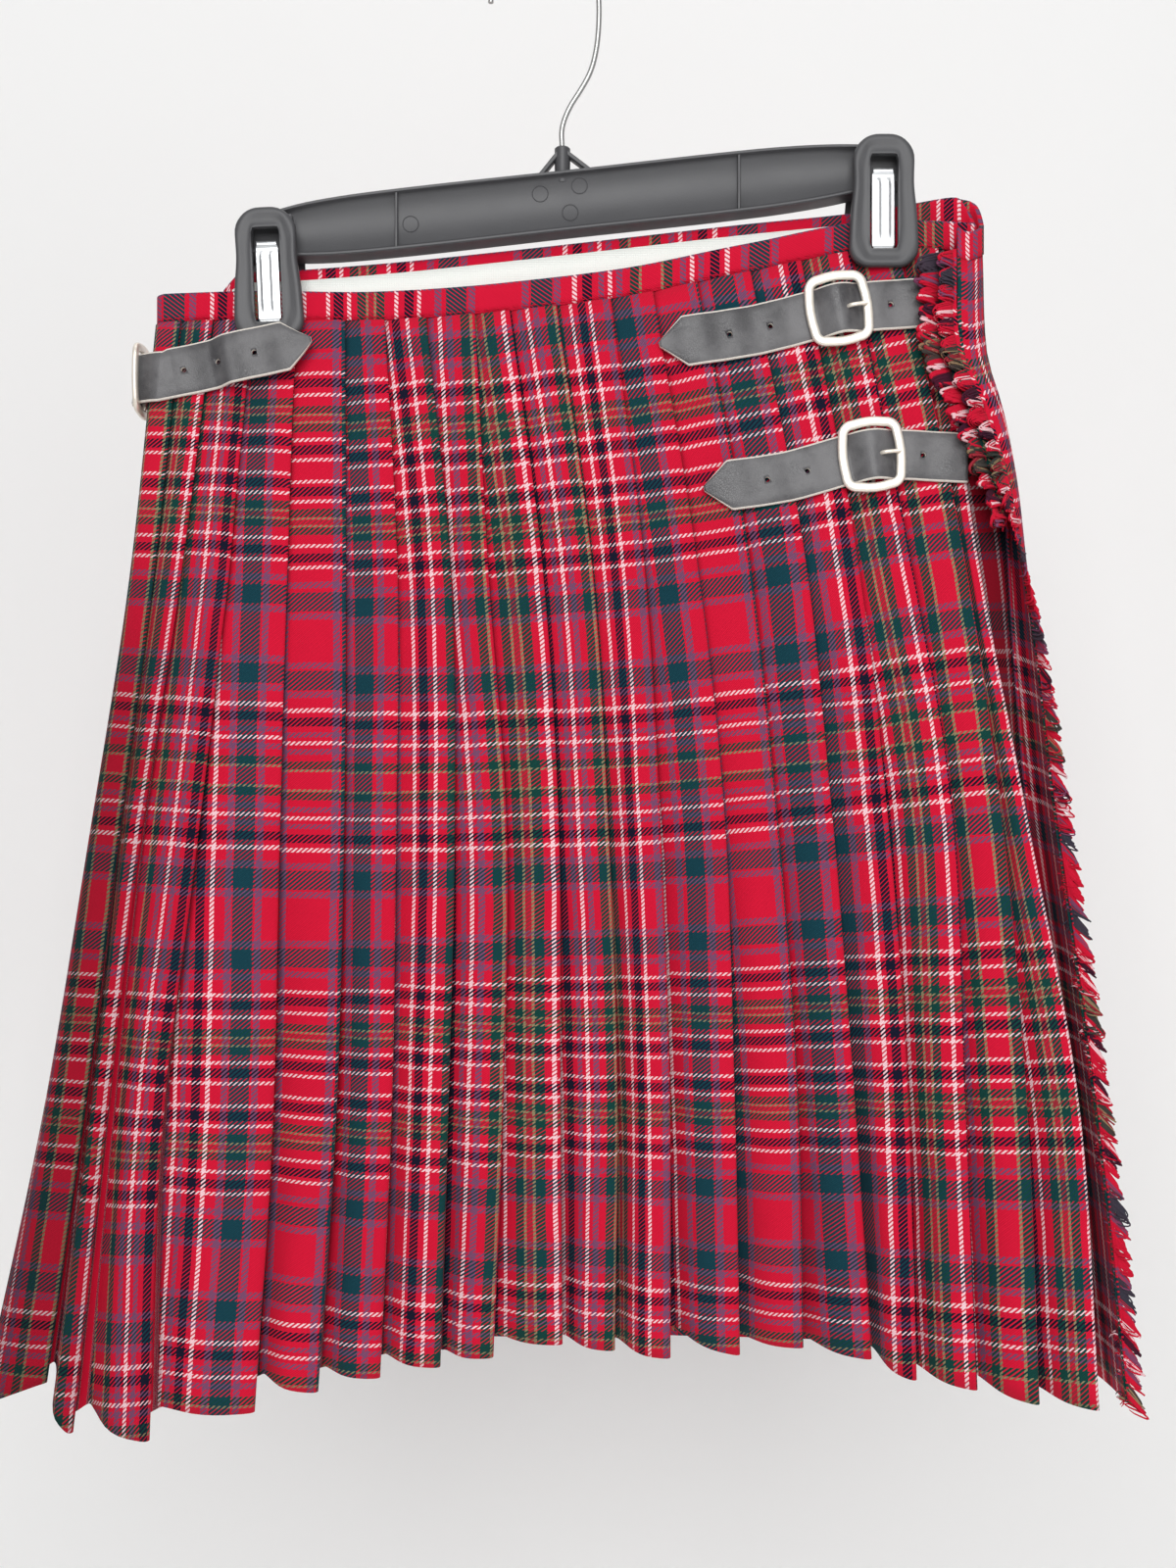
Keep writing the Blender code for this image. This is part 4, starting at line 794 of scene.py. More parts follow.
def pleat_points(t):
    """(x, y, z at the hem, z at the seam) along the folded cloth at share t, and the index of each fold."""
    layer = millimetres(LAYER_MM, t)
    base = millimetres(STACK_MM, t) - 2 * layer
    points = []
    folds = []

    def add(x, out, hem):
        points.append((x, near_y(x, t) - base - out, hem, seam_z(x)))

    corner = corner_x(-1, t)
    first_top = base + 2 * layer + PLEATS_MM[0][7] * MM * t**2
    for i in range(LEFT_TURN):
        angle = math.pi * (1 - i / LEFT_TURN)
        share = far_share(angle)
        x, y = side_point(-1, angle, t, first_top * (1 - share) + APRON_STEP * share)
        points.append((x, y, HEM_LEFT - HEM_LEFT_DIP * math.sin(angle), seam_z(x, share)))
    for index, row in enumerate(PLEATS_MM):
        fold = pleat_column(index, t)
        before = PLEATS_MM[max(index - 1, 0)]
        hem = row[5] * MM
        start_hem = max(before[5], row[5]) * MM + row[6] * MM
        stand = row[7] * MM * t**2
        top = 2 * layer + stand
        width = fold - (pleat_column(index - 1, t) if index else corner - FIRST_SPARE)
        tuck = width * TUCK_SHARE
        if index:
            # The tucked start lies just over the pleat before, and the face rises from it towards the fold.
            start = fold - width + FACE_GAP + before[7] * MM * t**2 * 0.14
            add(start, FACE_OUT, start_hem)
            near = FACE_START / (width - tuck)
            near_hem = start_hem + (hem - start_hem) * near * 0.6
            add(start + FACE_START, FACE_OUT + top * FACE_RISE * near, near_hem)
            add(fold - tuck - layer * 0.6, top * FACE_RISE, (start_hem + 2 * hem) / 3)
        add(fold - layer / 2, top, hem)
        folds.append(len(points))
        add(fold, top - layer / 2, hem)
        add(fold - layer / 2, top - layer, hem)
        add(fold - tuck * 0.5, layer * 1.1 + stand * 0.2, hem + TUCK_HIGHER * 2 / 3)
        for back, out in ((layer / 2, layer), (0, layer / 2), (layer / 2, 0)):
            add(fold - tuck + back, out, hem + TUCK_HIGHER)
    end, before = (Vector(p) for p in reversed(under_turn(t)[-2:]))
    ahead = (end - before).normalized()
    inwards = Vector((ahead.y, -ahead.x))
    # The last run goes on under the inner apron's end, and turns up against it.
    for gap in (LAST_GAP, WALL / 2 + SEAM_GAP * 3):
        place = end - ahead * LAST_SHORT + inwards * gap
        points.append((place.x, place.y, HEM_INNER, seam_z(end.x)))
    return points, folds


def pleated_back():
    """The rows of the pleated length, with the tartan set from each fold and from the hem upwards, and
    painted shade in the folds and on the first pleats.
    """
    rows = []
    shares = row_shares()
    for t in shares:
        points, folds = pleat_points(t)
        line = rounded_line([(x, y, seam + (hem - seam) * t) for x, y, hem, seam in points], PER_SPAN)
        line[:, 1] -= crease(NEAR_CREASES_MM, line[:, 0], line[:, 2], t)
        rows.append(line)
    # The cloth of a pleat runs from the hollow before its face to the hollow under its fold.
    half = PER_SPAN // 2
    bounds = [[(i - 3) * PER_SPAN - half, (i + 5) * PER_SPAN + half, i * PER_SPAN + half] for i in folds]
    bounds[0][0], bounds[-1][1] = 0, len(rows[0])
    folds_at = np.asarray([line[[fold for _, _, fold in bounds]] for line in rows])  # rows, pleats, xyz
    made = []
    for i, (t, line) in enumerate(zip(shares, rows)):
        far = arcs(line[:, :2])
        table = np.zeros((len(line), 3))
        ahead = folds_at[min(i + 1, len(rows) - 1)] - folds_at[max(i - 1, 0)]
        ahead /= np.linalg.norm(ahead, axis=1, keepdims=True)
        for k, (start, end, fold) in enumerate(bounds):
            place, width = PLEATS_MM[k][8:]
            part = table[start:end]
            part[:, 0] = place + (far[start:end] - far[fold]) * PER_METRE * width
            part[:, 1] = along(WEFT_PLACES[k], t) + (line[start:end] - line[fold]) @ ahead[k] * PER_METRE
            # The third column is painted shade. It fades out along the face past the fold before, and is full
            # on the layers tucked under this fold.
            if k:
                past = line[start:fold, 0] - line[bounds[k - 1][2], 0]
                table[start:fold, 2] = np.clip(1 - past / PAINTED_SHADE_REACH, 0, 1)
            table[fold + PER_SPAN : end, 2] = 1
            # The first pleats are darkened further by painted shade, which grows towards the hem.
            if k < len(LEFT_SHADE):
                part[:, 2] = np.maximum(part[:, 2], LEFT_SHADE[k] * eased(t, *LEFT_SHADE_T))
        made.append(np.column_stack([line, table]))
    return made


def far_run(t, left, right, step, count):
    """(x, y, 1) along the far side from left to right, step behind the inner apron."""
    xs = [left + (right - left) * i / count for i in range(count + 1)]
    return [(x, far_y(x, t) + step, 1.0) for x in xs]


def drop(points, t, hem_near, hem_far, outer=False):
    """Gives each (x, y, far share) its z at share t."""
    placed_points = []
    for x, y, share in points:
        seam = seam_z(x, share) - (end_drop(y, x) if outer else 0.0)
        hem = hem_near * (1 - share) + hem_far * share
        placed_points.append((x, y, seam + (hem - seam) * t))
    return placed_points


def at_share(values, t):
    """The value at share t from those at ROWS_T."""
    return eased_at(list(zip(ROWS_T, values)), t)


def plan_way(degrees):
    return Vector((math.cos(math.radians(degrees)), math.sin(math.radians(degrees))))


def apron_end(t):
    """Plan points round the right side, on one smooth curve from the far corner to the outer apron's edge."""
    corner = corner_x(1, t)
    edge = at_share(EDGE_MM, t) * MM
    start = Vector((corner, far_y(corner, t) + APRON_STEP))
    end = Vector((edge, near_y(edge, t) - millimetres(STACK_MM, t) - at_share(EDGE_OUT_MM, t) * MM))
    first = start + Vector((1, 0)) * at_share(CORNER_REACH_MM, t) * MM
    last = end - plan_way(at_share(EDGE_ANGLE, t)) * at_share(EDGE_REACH_MM, t) * MM
    points = []
    for i in range(1, TURN + 1):
        s = i / TURN
        r = 1 - s
        points.append(start * r**3 + first * (3 * r * r * s) + last * (3 * r * s * s) + end * s**3)
    return points


def under_turn(t):
    """Plan points of the inner apron round the right side, a step inside the outer apron."""
    corner = corner_x(1, t)
    before = Vector((corner - 0.01, far_y(corner - 0.01, t) + APRON_STEP))
    inside = offset_line([before] + [tuple(p) for p in apron_end(t)], -APRON_STEP)
    return [Vector(p) for p in inside[1 : UNDER_TURN + 1]]


def side_shares(points, turn):
    """(x, y, far share) for points round the right side, turn of them from the far to the near side."""
    return [(p[0], p[1], max(1 - (i + 1) / turn, 0.0)) for i, p in enumerate(points)]


def over_apron_points(t):
    left = corner_x(-1, t) + 0.0006
    return far_run(t, left, corner_x(1, t), APRON_STEP, FAR_STEPS) + side_shares(apron_end(t), TURN)


def under_apron_points(t):
    left = millimetres(UNDER_EDGE_MM, t)
    return far_run(t, left, corner_x(1, t), 0, FAR_STEPS) + side_shares(under_turn(t), UNDER_TURN - 1)


def apron_rows(points_at, hem_near, hem_far, edge_place):
    """Rows of an apron. The stripes hang straight in its middle and follow its edge at the right side."""
    shares = row_shares()
    outer = points_at is over_apron_points
    lines = [rounded_line(drop(points_at(t), t, hem_near, hem_far, outer), APRON_SPAN) for t in shares]
    fars = []
    for t, line in zip(shares, lines):
        behind = np.clip((line[:, 1] - near_y(MIDDLE_X, t)) / CREASE_BEHIND, 0, 1)
        line[:, 1] += crease(FAR_CREASES_MM, line[:, 0], line[:, 2], t) * behind
        far = arcs(line[:, :2])
        fars.append(far - far[int(np.argmin(np.abs(line[:, 0] - MIDDLE_X)))])
    reach = fars[-1][-1]
    made = []
    for t, line, far in zip(shares, lines, fars):
        ease = smoothed(np.clip((far - STRAIGHT_RUN) / np.maximum(far[-1] - STRAIGHT_RUN, 0.01), 0, 1))
        across = edge_place + (far + (reach - far[-1]) * ease - reach) * PER_METRE
        made.append(np.column_stack([line, -across, np.full(len(line), along(APRON_WEFTS, t))]))
    return made


def lining_rows():
    made = []
    for i in range(-1, LINING_ROWS):
        t = max(i, 0) / (LINING_ROWS - 1) * LINING_LOWEST
        left = millimetres(UNDER_EDGE_MM, t) + LINING_SHORT[0]
        right = corner_x(1, t) - LINING_SHORT[1]
        row = drop(far_run(t, left, right, -LINING_INSET, LINING_STEPS), t, HEM_INNER, HEM_FAR + HEM_LIFT)
        if i < 0:
            # The turned edge rises above the seam, and ducks under the right clip.
            tops = [rim_far(p[0]) - LINING_BELOW_RIM - LINING_DUCK * eased(p[0], *LINING_DUCK_X) for p in row]
            row = [(x, y, z) for (x, y, _), z in zip(row, tops)]
        row = np.array(row)
        row[:, 1] += crease(FAR_CREASES_MM, row[:, 0], row[:, 2], t)
        made.append(np.column_stack([row, row[:, 0] / MM, row[:, 2] / MM]))
    return made


def band_points():
    """(x, y, far share) along the waistband: free end of the inner apron, round the right side, back across
    the pleats, round the left side, along the outer apron and round the right side to the fringed edge."""
    middle = millimetres(STACK_MM, 0) / 2
    points = under_apron_points(0)
    right = points[-1][0] - BAND_TURN_BACK
    left = corner_x(-1, 0)
    for x in np.linspace(right, left, BAND_STEPS).tolist():
        points.append((x, near_y(x, 0) - middle, 0.0))
    for i in range(1, LEFT_TURN):
        angle = math.pi * i / LEFT_TURN
        out = middle + (APRON_STEP - middle) * i / LEFT_TURN
        points.append((*side_point(-1, angle, 0, out), far_share(angle)))
    points += far_run(0, left, corner_x(1, 0), APRON_STEP, FAR_STEPS)
    return points + side_shares(apron_end(0), TURN)


def waistband_rows():
    """The band is straight, and its end hangs as the outer apron's does."""
    plan = rounded_line(band_points(), 4)
    far = arcs(plan[:, :2])
    near = np.where(plan[:, 2] < 0.01)[0]  # the points whose far share is 0
    at = near[int(np.argmin(np.abs(plan[near, 0] - BAND_X)))]
    outer_from = int(np.argmin(plan[:, 0]))
    made = []
    for height in np.linspace(0.0, -1.0, 5).tolist():
        row = []
        for i, ((x, y, s), distance) in enumerate(zip(plan, far)):
            z = rim(x, s) + height * BAND_HEIGHT - (end_drop(y, x) if i > outer_from else 0.0)
            across = BAND_PLACE - (distance - far[at]) * PER_METRE * BAND_WIDTH
            row.append((x, y, z, -across, BAND_DOWN - height * BAND_HEIGHT * PER_METRE))
        made.append(row)
    return made


def finish_piece(piece, slot, *nodes):
    """The piece rides on the body and stands for these nodes of the model."""
    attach(piece, "root")
    if nodes:
        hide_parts(*nodes)
    return piece


def finish_cloth(name, node, rows, wall=WALL, finish=None, slot="tartan", sewn_on=lambda made: []):
    """A hung piece of cloth, and the pieces that are sewn on it."""
    made = finish_piece(shell(name, rows, wall, finish or TARTAN), slot, node)
    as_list(sewn_on(made))


# ---------------------------------------------------------------- fine forms


def ring_faces(rings, wide, closed=False):
    """Faces between neighbouring rings of this many points, with a face over each end if it isn't closed."""
    faces = []
    for i in range(rings if closed else rings - 1):
        j = (i + 1) % rings
        for a in range(wide):
            b = (a + 1) % wide
            faces.append((i * wide + a, i * wide + b, j * wide + b, j * wide + a))
    if not closed:
        faces += [range(wide - 1, -1, -1), range((rings - 1) * wide, rings * wide)]
    return faces


class Heap:
    """Points and faces of a piece that is gathered from many small forms."""

    def __init__(self):
        self.points = []
        self.faces = []
        self.slots = []
        self.places = []

    def add(self, points, faces, slots=None, place=(0.0, 0.0)):
        start = len(self.points)
        self.points += [tuple(p) for p in points]
        self.faces += [tuple(start + i for i in face) for face in faces]
        self.slots += slots or [0] * len(faces)
        self.places += [place] * len(points)

    def tilt(self, x, z, lean):
        """Leans the forms about a point at their foot, top to the left for a positive lean."""
        c, s = math.cos(lean), math.sin(lean)
        for k, (px, y, pz) in enumerate(self.points):
            px, pz = px - x, pz - z
            self.points[k] = (x + px * c - pz * s, y, z + px * s + pz * c)

    def build(self, name, *finishes, sharp=None):
        """The piece, with every closed form's faces outwards, and edges over sharp degrees left sharp."""
        mesh = bpy.data.meshes.new(name)
        mesh.from_pydata(self.points, [], self.faces)
        mesh.polygons.foreach_set("material_index", self.slots)
        bm = bmesh.new()
        bm.from_mesh(mesh)
        bmesh.ops.recalc_face_normals(bm, faces=bm.faces)
        bm.to_mesh(mesh)
        bm.free()
        map_places(mesh, np.asarray(self.places))
        for finish in finishes:
            mesh.materials.append(finish)
        mesh.shade_smooth()
        if sharp:
            mesh.set_sharp_from_angle(angle=math.radians(sharp))
        return placed(name, mesh)


def signed_power(value, power):
    return math.copysign(abs(value) ** power, value)


def ring_section(wide, thick, count, power=2.0):
    """(a, b) points round an oval, squarer the higher the power."""
    share = 2 / power
    points = []
    for i in range(count):
        angle = 2 * math.pi * (i + 0.5) / count
        a, b = signed_power(math.cos(angle), share), signed_power(math.sin(angle), share)
        points.append((wide * a, thick * b))
    return points


def sweep(heap, path, section, up, closed=False, taper=None, place=(0.0, 0.0)):
    """A solid bar of this section along a path. up is the way that the section's b points to."""
    path = [Vector(p) for p in path]
    count = len(path)
    rings = []
    for i, point in enumerate(path):
        before = path[i - 1] if i or closed else point
        after = path[(i + 1) % count] if i + 1 < count or closed else point
        ahead = (after - before).normalized()
        side = ahead.cross(up)
        side = side.normalized() if side.length > 1e-6 else ahead.orthogonal().normalized()
        rise = side.cross(ahead)
        size = taper[i] if taper else 1.0
        rings += [point + (side * a + rise * b) * size for a, b in section]
    heap.add(rings, ring_faces(count, len(section), closed), place=place)


def rounded_tip(count, radius, step):
    """Sizes of the rings of a rod that ends in a round tip, for rings that are step apart."""
    near = [max(0.0, 1 - (count - 1 - i) * step / radius) for i in range(count)]
    return [math.sqrt(max(1 - share**2, 0.04)) for share in near]


# ---------------------------------------------------------------- fringe


def share_at(x, z):
    seam = rim_near(x) - BAND_HEIGHT
    return min(max((seam - z) / (seam - HEM_EDGE), 0.0), 1.0)


def fringe_station(t, start, inwards):
    """Where the strip starts at share t, the way its yarns point, and the way to its inner face."""
    end = apron_end(t)[-1]
    seam = seam_z(end.x)
    flat = plan_way(at_share(EDGE_ANGLE, t) + curve_at(FRINGE_TURN, t))
    inner = Vector((flat.y, -flat.x, 0))
    direction = Vector((flat.x, flat.y, -curve_at(FRINGE_DROOP, t))).normalized()
    root = Vector((end.x, end.y, seam + (HEM_EDGE - seam) * t)) + Vector((flat.x, flat.y, 0)) * start
    return root + inner * inwards, direction, inner


def fringe(row):
    """A woven strip whose loose wefts curl back on themselves in bundles."""
    name, lowest, bundles, yarns, start, inwards, strip, length, radius, shift = row
    draw = random.Random(name)
    heap = Heap()
    reach_down = lowest - 2 * FRINGE_MARGIN
    rows = []
    for i in range(2 * bundles + 1):
        t = FRINGE_MARGIN + reach_down * i / (2 * bundles)
        root, direction, _ = fringe_station(t, start, inwards)
        weft = along(APRON_WEFTS, t) + shift
        runs = [s * strip for s in (0, 0.35, 0.7, 1.0)]
        rows.append([(*(root + direction * run), STRIP_PLACE + run * PER_METRE, weft) for run in runs])
    woven = shell(name + "_strip", rows, STRIP_WALL, TARTAN)
    for b in range(bundles):
        lean = draw.uniform(-0.35, 0.35)
        curl = draw.uniform(0.9, 1.5)
        reach = length * draw.uniform(0.86, 1.08)
        for y in range(yarns):
            share = (b + (y + draw.uniform(0.1, 0.9)) / yarns) / bundles
            t = min(FRINGE_MARGIN + reach_down * share, lowest)
            root, direction, inner = fringe_station(t, start, inwards)
            down = direction.cross(inner).normalized()
            if down.z > 0:
                down = -down
            # The yarns of a bundle draw together.
            towards = ((b + 0.5) / bundles - (t - FRINGE_MARGIN) / reach_down) * lowest * BUNDLE_PULL
            own_lean = lean + draw.uniform(-0.35, 0.35)
            own_curl = curl * draw.uniform(0.75, 1.25)
            own_reach = reach * draw.uniform(0.82, 1.1)
            lift = draw.uniform(-0.0010, 0.0012)
            points = []
            for s in (i / 10 for i in range(11)):
                # The yarn runs out, rises off the cloth and curls down and back on itself.
                turn = min((0.30 + 0.75 * own_curl) * math.pi * s, math.pi * 1.2)
                forward = own_reach * (0.30 * s + 0.52 * math.sin(turn) / (0.6 + 0.4 * own_curl))
                out = -own_reach * 0.30 * math.sin(math.pi * min(s * 1.08, 1.0)) - lift * s
                fall = own_reach * (0.16 * s + 0.20 * own_curl * s * s * s + 0.30 * own_lean * s)
                fall += towards * min(s * 1.6, 1.0)
                points.append(root + direction * (strip * 0.8 + forward) + inner * out + down * fall)
            weft = along(APRON_WEFTS, t) + shift + draw.uniform(-2.5, 2.5)
            place = (YARN_PLACE, weft)
            sweep(heap, points, ring_section(radius, radius, 6), inner, taper=YARN_TAPER, place=place)
    return [finish_piece(piece, "yarn", name) for piece in (woven, heap.build(name + "_yarns", YARN))]


# ---------------------------------------------------------------- straps and buckles


def front_y(x, z):
    """The pleats' outer face."""
    t = share_at(x, z)
    creased = float(crease(NEAR_CREASES_MM, np.array([x]), np.array([z]), t)[0])
    return near_y(x, t) - millimetres(STACK_MM, t) - STAND_MOST * t * t - WALL / 2 - creased


def strap_line(points, s):
    xs, zs = zip(*points)
    return millimetres(xs, s), millimetres(zs, s)


def strap_share(points, x):
    """The share s at which a strap's middle is at x, by halving."""
    low, high = 0.0, 1.0
    for _ in range(24):
        middle = (low + high) / 2
        if (strap_line(points, middle)[0] - x) * (points[-1][0] - points[0][0]) > 0:
            high = middle
        else:
            low = middle
    return (low + high) / 2


def strap_frame(points, s):
    """(x, z) of the middle at share s, and the (x, z) way across the strap."""
    x0, z0 = strap_line(points, max(s - SMALL, 0.0))
    x1, z1 = strap_line(points, min(s + SMALL, 1.0))
    ahead = Vector((x1 - x0, z1 - z0)).normalized()
    across = Vector((-ahead.y, ahead.x))
    return strap_line(points, s), across if across.y > 0 else -across


def bulge(distance):
    """How far the leather is raised this far from the buckle's centre bar."""
    reach = BUCKLE_HALF_WIDE - BUCKLE_WIRE - BULGE_INSET
    if abs(distance) > reach:
        return 0.0
    return BULGE * (0.5 + 0.5 * math.cos(math.pi * distance / reach)) ** BULGE_POWER


# Across a strap: share of its half width, and depth below its face. The cut edge is a little rounded.
STRAP_SECTION = (
    (-0.93, 0.0), (-0.6, -0.00006), (-0.2, -0.0001), (0.2, -0.0001), (0.6, -0.00006), (0.93, 0.0),
    (0.985, 0.0003), (1.0, 0.0006), (1.0, 0.0015), (0.97, STRAP_WALL), (0.5, STRAP_WALL), (-0.5, STRAP_WALL),
    (-0.97, STRAP_WALL), (-1.0, 0.0015), (-1.0, 0.0006), (-0.985, 0.0003),
)  # fmt: skip
STRAP_CUT = {5, 6, 7, 8, 12, 13, 14, 15}  # the faces of that section that show the cut edge


def strap_half(left):
    """Half the strap's width: full, then cut to a blunt point over the last stretch."""
    return STRAP_HALF * min(1.0, STRAP_BLUNT + (1 - STRAP_BLUNT) * left / STRAP_POINT)


def strap_body(name, stations):
    """A strap from (place of a point on its face at this share and depth, half width) stations."""
    points = [place(share * half, depth) for place, half in stations for share, depth in STRAP_SECTION]
    cut = [int(a in STRAP_CUT) for a in range(len(STRAP_SECTION))]
    heap = Heap()
    heap.add(points, ring_faces(len(stations), len(cut)), cut * (len(stations) - 1) + [1, 1])
    return heap.build(name, LEATHER, RAW_EDGE)


def on_pleats(points, x, buckle, extra_lift):
    """A place on a strap's face where it lies on the pleats, as a function of offset across and of depth."""
    (px, pz), across = strap_frame(points, strap_share(points, x))
    lift = (bulge(x - buckle) if buckle is not None else 0.0) + extra_lift(x)
    lift += STRAP_WAVE[0] * math.sin(x * STRAP_WAVE[1]) ** 2

    def place(offset, depth):
        at_x, at_z = px + across.x * offset, pz + across.y * offset
        cupped = STRAP_CUP[0] * (offset / STRAP_HALF) ** 2 * math.sin(x * STRAP_CUP[1] + 1.0)
        return Vector((at_x, front_y(at_x, at_z) - LEATHER_GAP - lift - cupped - STRAP_WALL + depth, at_z))

    return place


def tail_stations(points, buckle, extra_lift, start):
    end = points[-1][0] * MM
    count = int(abs(end - start) / STRAP_STEP)
    xs = [start + (end - start) * i / count for i in range(count + 1)]
    return [(on_pleats(points, x, buckle, extra_lift), strap_half(abs(end - x))) for x in xs]


def punch(strap, points, holes, extra_lift):
    """Cuts the round holes through a strap, and keeps the cut as part of its mesh."""
    heap = Heap()
    for hole in holes:
        x, z = strap_line(points, strap_share(points, hole * MM))
        y = front_y(x, z) - extra_lift(x)
        sweep(heap, [(x, y - 0.006, z), (x, y + 0.004, z)], ring_section(HOLE_RADIUS, HOLE_RADIUS, 20), UP)
    cutter = heap.build("punch", RAW_EDGE)
    cut = strap.modifiers.new("holes", "BOOLEAN")
    cut.operation, cut.solver, cut.object = "DIFFERENCE", "EXACT", cutter
    bpy.context.view_layer.update()
    graph = bpy.context.evaluated_depsgraph_get()
    mesh = bpy.data.meshes.new_from_object(strap.evaluated_get(graph))
    strap.modifiers.clear()
    strap.data = mesh
    bpy.data.objects.remove(cutter, do_unlink=True)


def no_lift(x):
    return 0.0


def clip_lift(x):
    """How far the left strap is raised where it starts to lie on the clip."""
    return CLIP_LIFT * eased(x, *CLIP_LIFT_RUN)


def round_left_side(angle, z):
    """A place on the left strap's face where it goes round the side."""
    lift = SIDE_BULGE * math.sin(angle) ** 4

    def place(offset, depth):
        t = share_at(corner_x(-1, 0), z + offset)
        share = far_share(angle)
        cloth = (millimetres(STACK_MM, t) + SIDE_CLEAR) * (1 - share) + APRON_STEP * share
        out = cloth + WALL / 2 + LEATHER_GAP + STRAP_WALL - depth + lift
        return Vector((*side_point(-1, angle, t, out), z + offset))

    return place


def left_strap():
    z = STRAP_LEFT_TAIL_MM[0][1] * MM
    t = share_at(corner_x(-1, 0), z)
    corner = corner_x(-1, t)
    stations = []
    for i in range(BACK_STEPS):
        x = STRAP_LEFT_END_X + (corner - STRAP_LEFT_END_X) * i / BACK_STEPS
        y = far_y(x, t) + APRON_STEP + WALL / 2 + LEATHER_GAP + STRAP_WALL
        stations.append((lambda offset, depth, x=x, y=y: Vector((x, y - depth, z + offset)), STRAP_HALF))
    angles = [math.pi * (1 - i / SIDE_STEPS) for i in range(SIDE_STEPS + 1)]
    stations += [(round_left_side(angle, z), STRAP_HALF) for angle in angles]
    stations += tail_stations(STRAP_LEFT_TAIL_MM, None, clip_lift, corner + TAIL_FROM_CORNER)
    made = strap_body("strap_left_leather", stations)
    punch(made, STRAP_LEFT_TAIL_MM, STRAP_LEFT_HOLES_MM, clip_lift)
    return finish_piece(made, "leather", "strap_left")


def face_of(made):
    """A function that gives the point of a piece seen at x and z from the near side, -1, or the far one, 1."""
    points = [v.co.copy() for v in made.data.vertices]
    tree = BVHTree.FromPolygons(points, [tuple(p.vertices) for p in made.data.polygons])
    return lambda x, z, side: tree.ray_cast(Vector((x, 0.3 * side, z)), Vector((0, -side, 0)))[0]


def stitches(name, finish, lines):
    """Rows of small raised stitches. Each line is a face, the side that it is seen from, and the row's height
    and two ends."""
    heap = Heap()
    for seen, side, height, start, end in lines:
        count = max(int(abs(end - start) / STITCH_STEP), 1)
        for i in range(count):
            x = start + (end - start) * (i + 0.5) / count
            ends = [seen(x + shift, height(x), side) for shift in (-STITCH / 2, STITCH / 2)]
            if not all(p and p.y * side > 0 for p in ends):
                continue
            out = AWAY * side
            path = []
            for s in (k / 6 for k in range(7)):
                path.append(ends[0].lerp(ends[1], s) + out * THREAD * 1.2 * math.sin(math.pi * s))
            sweep(heap, path, ring_section(THREAD, THREAD, 6), out, taper=STITCH_TAPER)
    return finish_piece(heap.build(name, finish), "yarn")


def buckle_loop(steps=7):
    """Points round the cast frame, whose sides bulge slightly outwards."""
    points = []
    signs = ((1, 1), (-1, 1), (-1, -1), (1, -1))
    inner = (BUCKLE_HALF_WIDE - BUCKLE_CORNER, BUCKLE_HALF_TALL - BUCKLE_CORNER)
    for quarter, (sx, sy) in enumerate(signs):
        for i in range(steps + 1):
            angle = math.pi / 2 * (quarter + i / steps)
            c, s = BUCKLE_CORNER * math.cos(angle), BUCKLE_CORNER * math.sin(angle)
            points.append((sx * inner[0] + c, sy * inner[1] + s))
        start, axis = points[-1], quarter % 2  # the side that follows runs along this axis
        for s in (0.25, 0.5, 0.75):
            point = list(start)
            point[axis] += (signs[(quarter + 1) % 4][axis] * inner[axis] - start[axis]) * s
            point[1 - axis] += math.copysign(BUCKLE_SWELL * math.sin(math.pi * s), start[1 - axis])
            points.append(point)
    return points


def cast_buckle(name, centre, upward, along_strap, outward, ring_out, bar_gap, rise):
    """The flat cast frame with its bar, and the prong that rests on the frame."""
    heap = Heap()
    loop = [centre + along_strap * a + upward * b + outward * ring_out for a, b in buckle_loop()]
    sweep(heap, loop, ring_section(BUCKLE_BAND, BUCKLE_THICK, 16, 2.9), outward, closed=True)
    low = ring_out - BUCKLE_BAR - bar_gap
    half = ((0.99, 0), (0.94, 0.4), (0.88, 1), (0.5, 1))  # share of the bar, and how far it has dropped
    bar = [(s, d) for s, d in (*half, (0, 1), *((-s, d) for s, d in reversed(half)))]
    bar = [centre + upward * BUCKLE_HALF_TALL * s + outward * (ring_out - low * d) for s, d in bar]
    sweep(heap, bar, ring_section(BUCKLE_BAR, BUCKLE_BAR, 12), outward)
    finish_piece(heap.build(name + "_casting", NICKEL), "nickel", name + "_frame")
    # The prong comes up through the strap, bends over it and ends on the frame.
    over = STRAP_WALL + rise + LEATHER_GAP + PRONG_RADIUS + 0.0002
    tip = ring_out + BUCKLE_THICK + LEATHER_GAP + PRONG_RADIUS
    line = [(place, over - below) for place, below in PRONG_HEEL] + [(PRONG_BEND, (over + tip) / 2)]
    line += [(BUCKLE_HALF_WIDE + past, tip) for past in PRONG_TIP]
    points = [centre + along_strap * float(a) + outward * float(h) for a, h in rounded_line(line, 4)]
    heap = Heap()
    sizes = rounded_tip(len(points), 0.0010, 0.0006)
    sweep(heap, points, ring_section(PRONG_RADIUS * 1.1, PRONG_RADIUS, 10), outward, taper=sizes)
    finish_piece(heap.build(name + "_tongue", NICKEL), "nickel", name + "_prong")


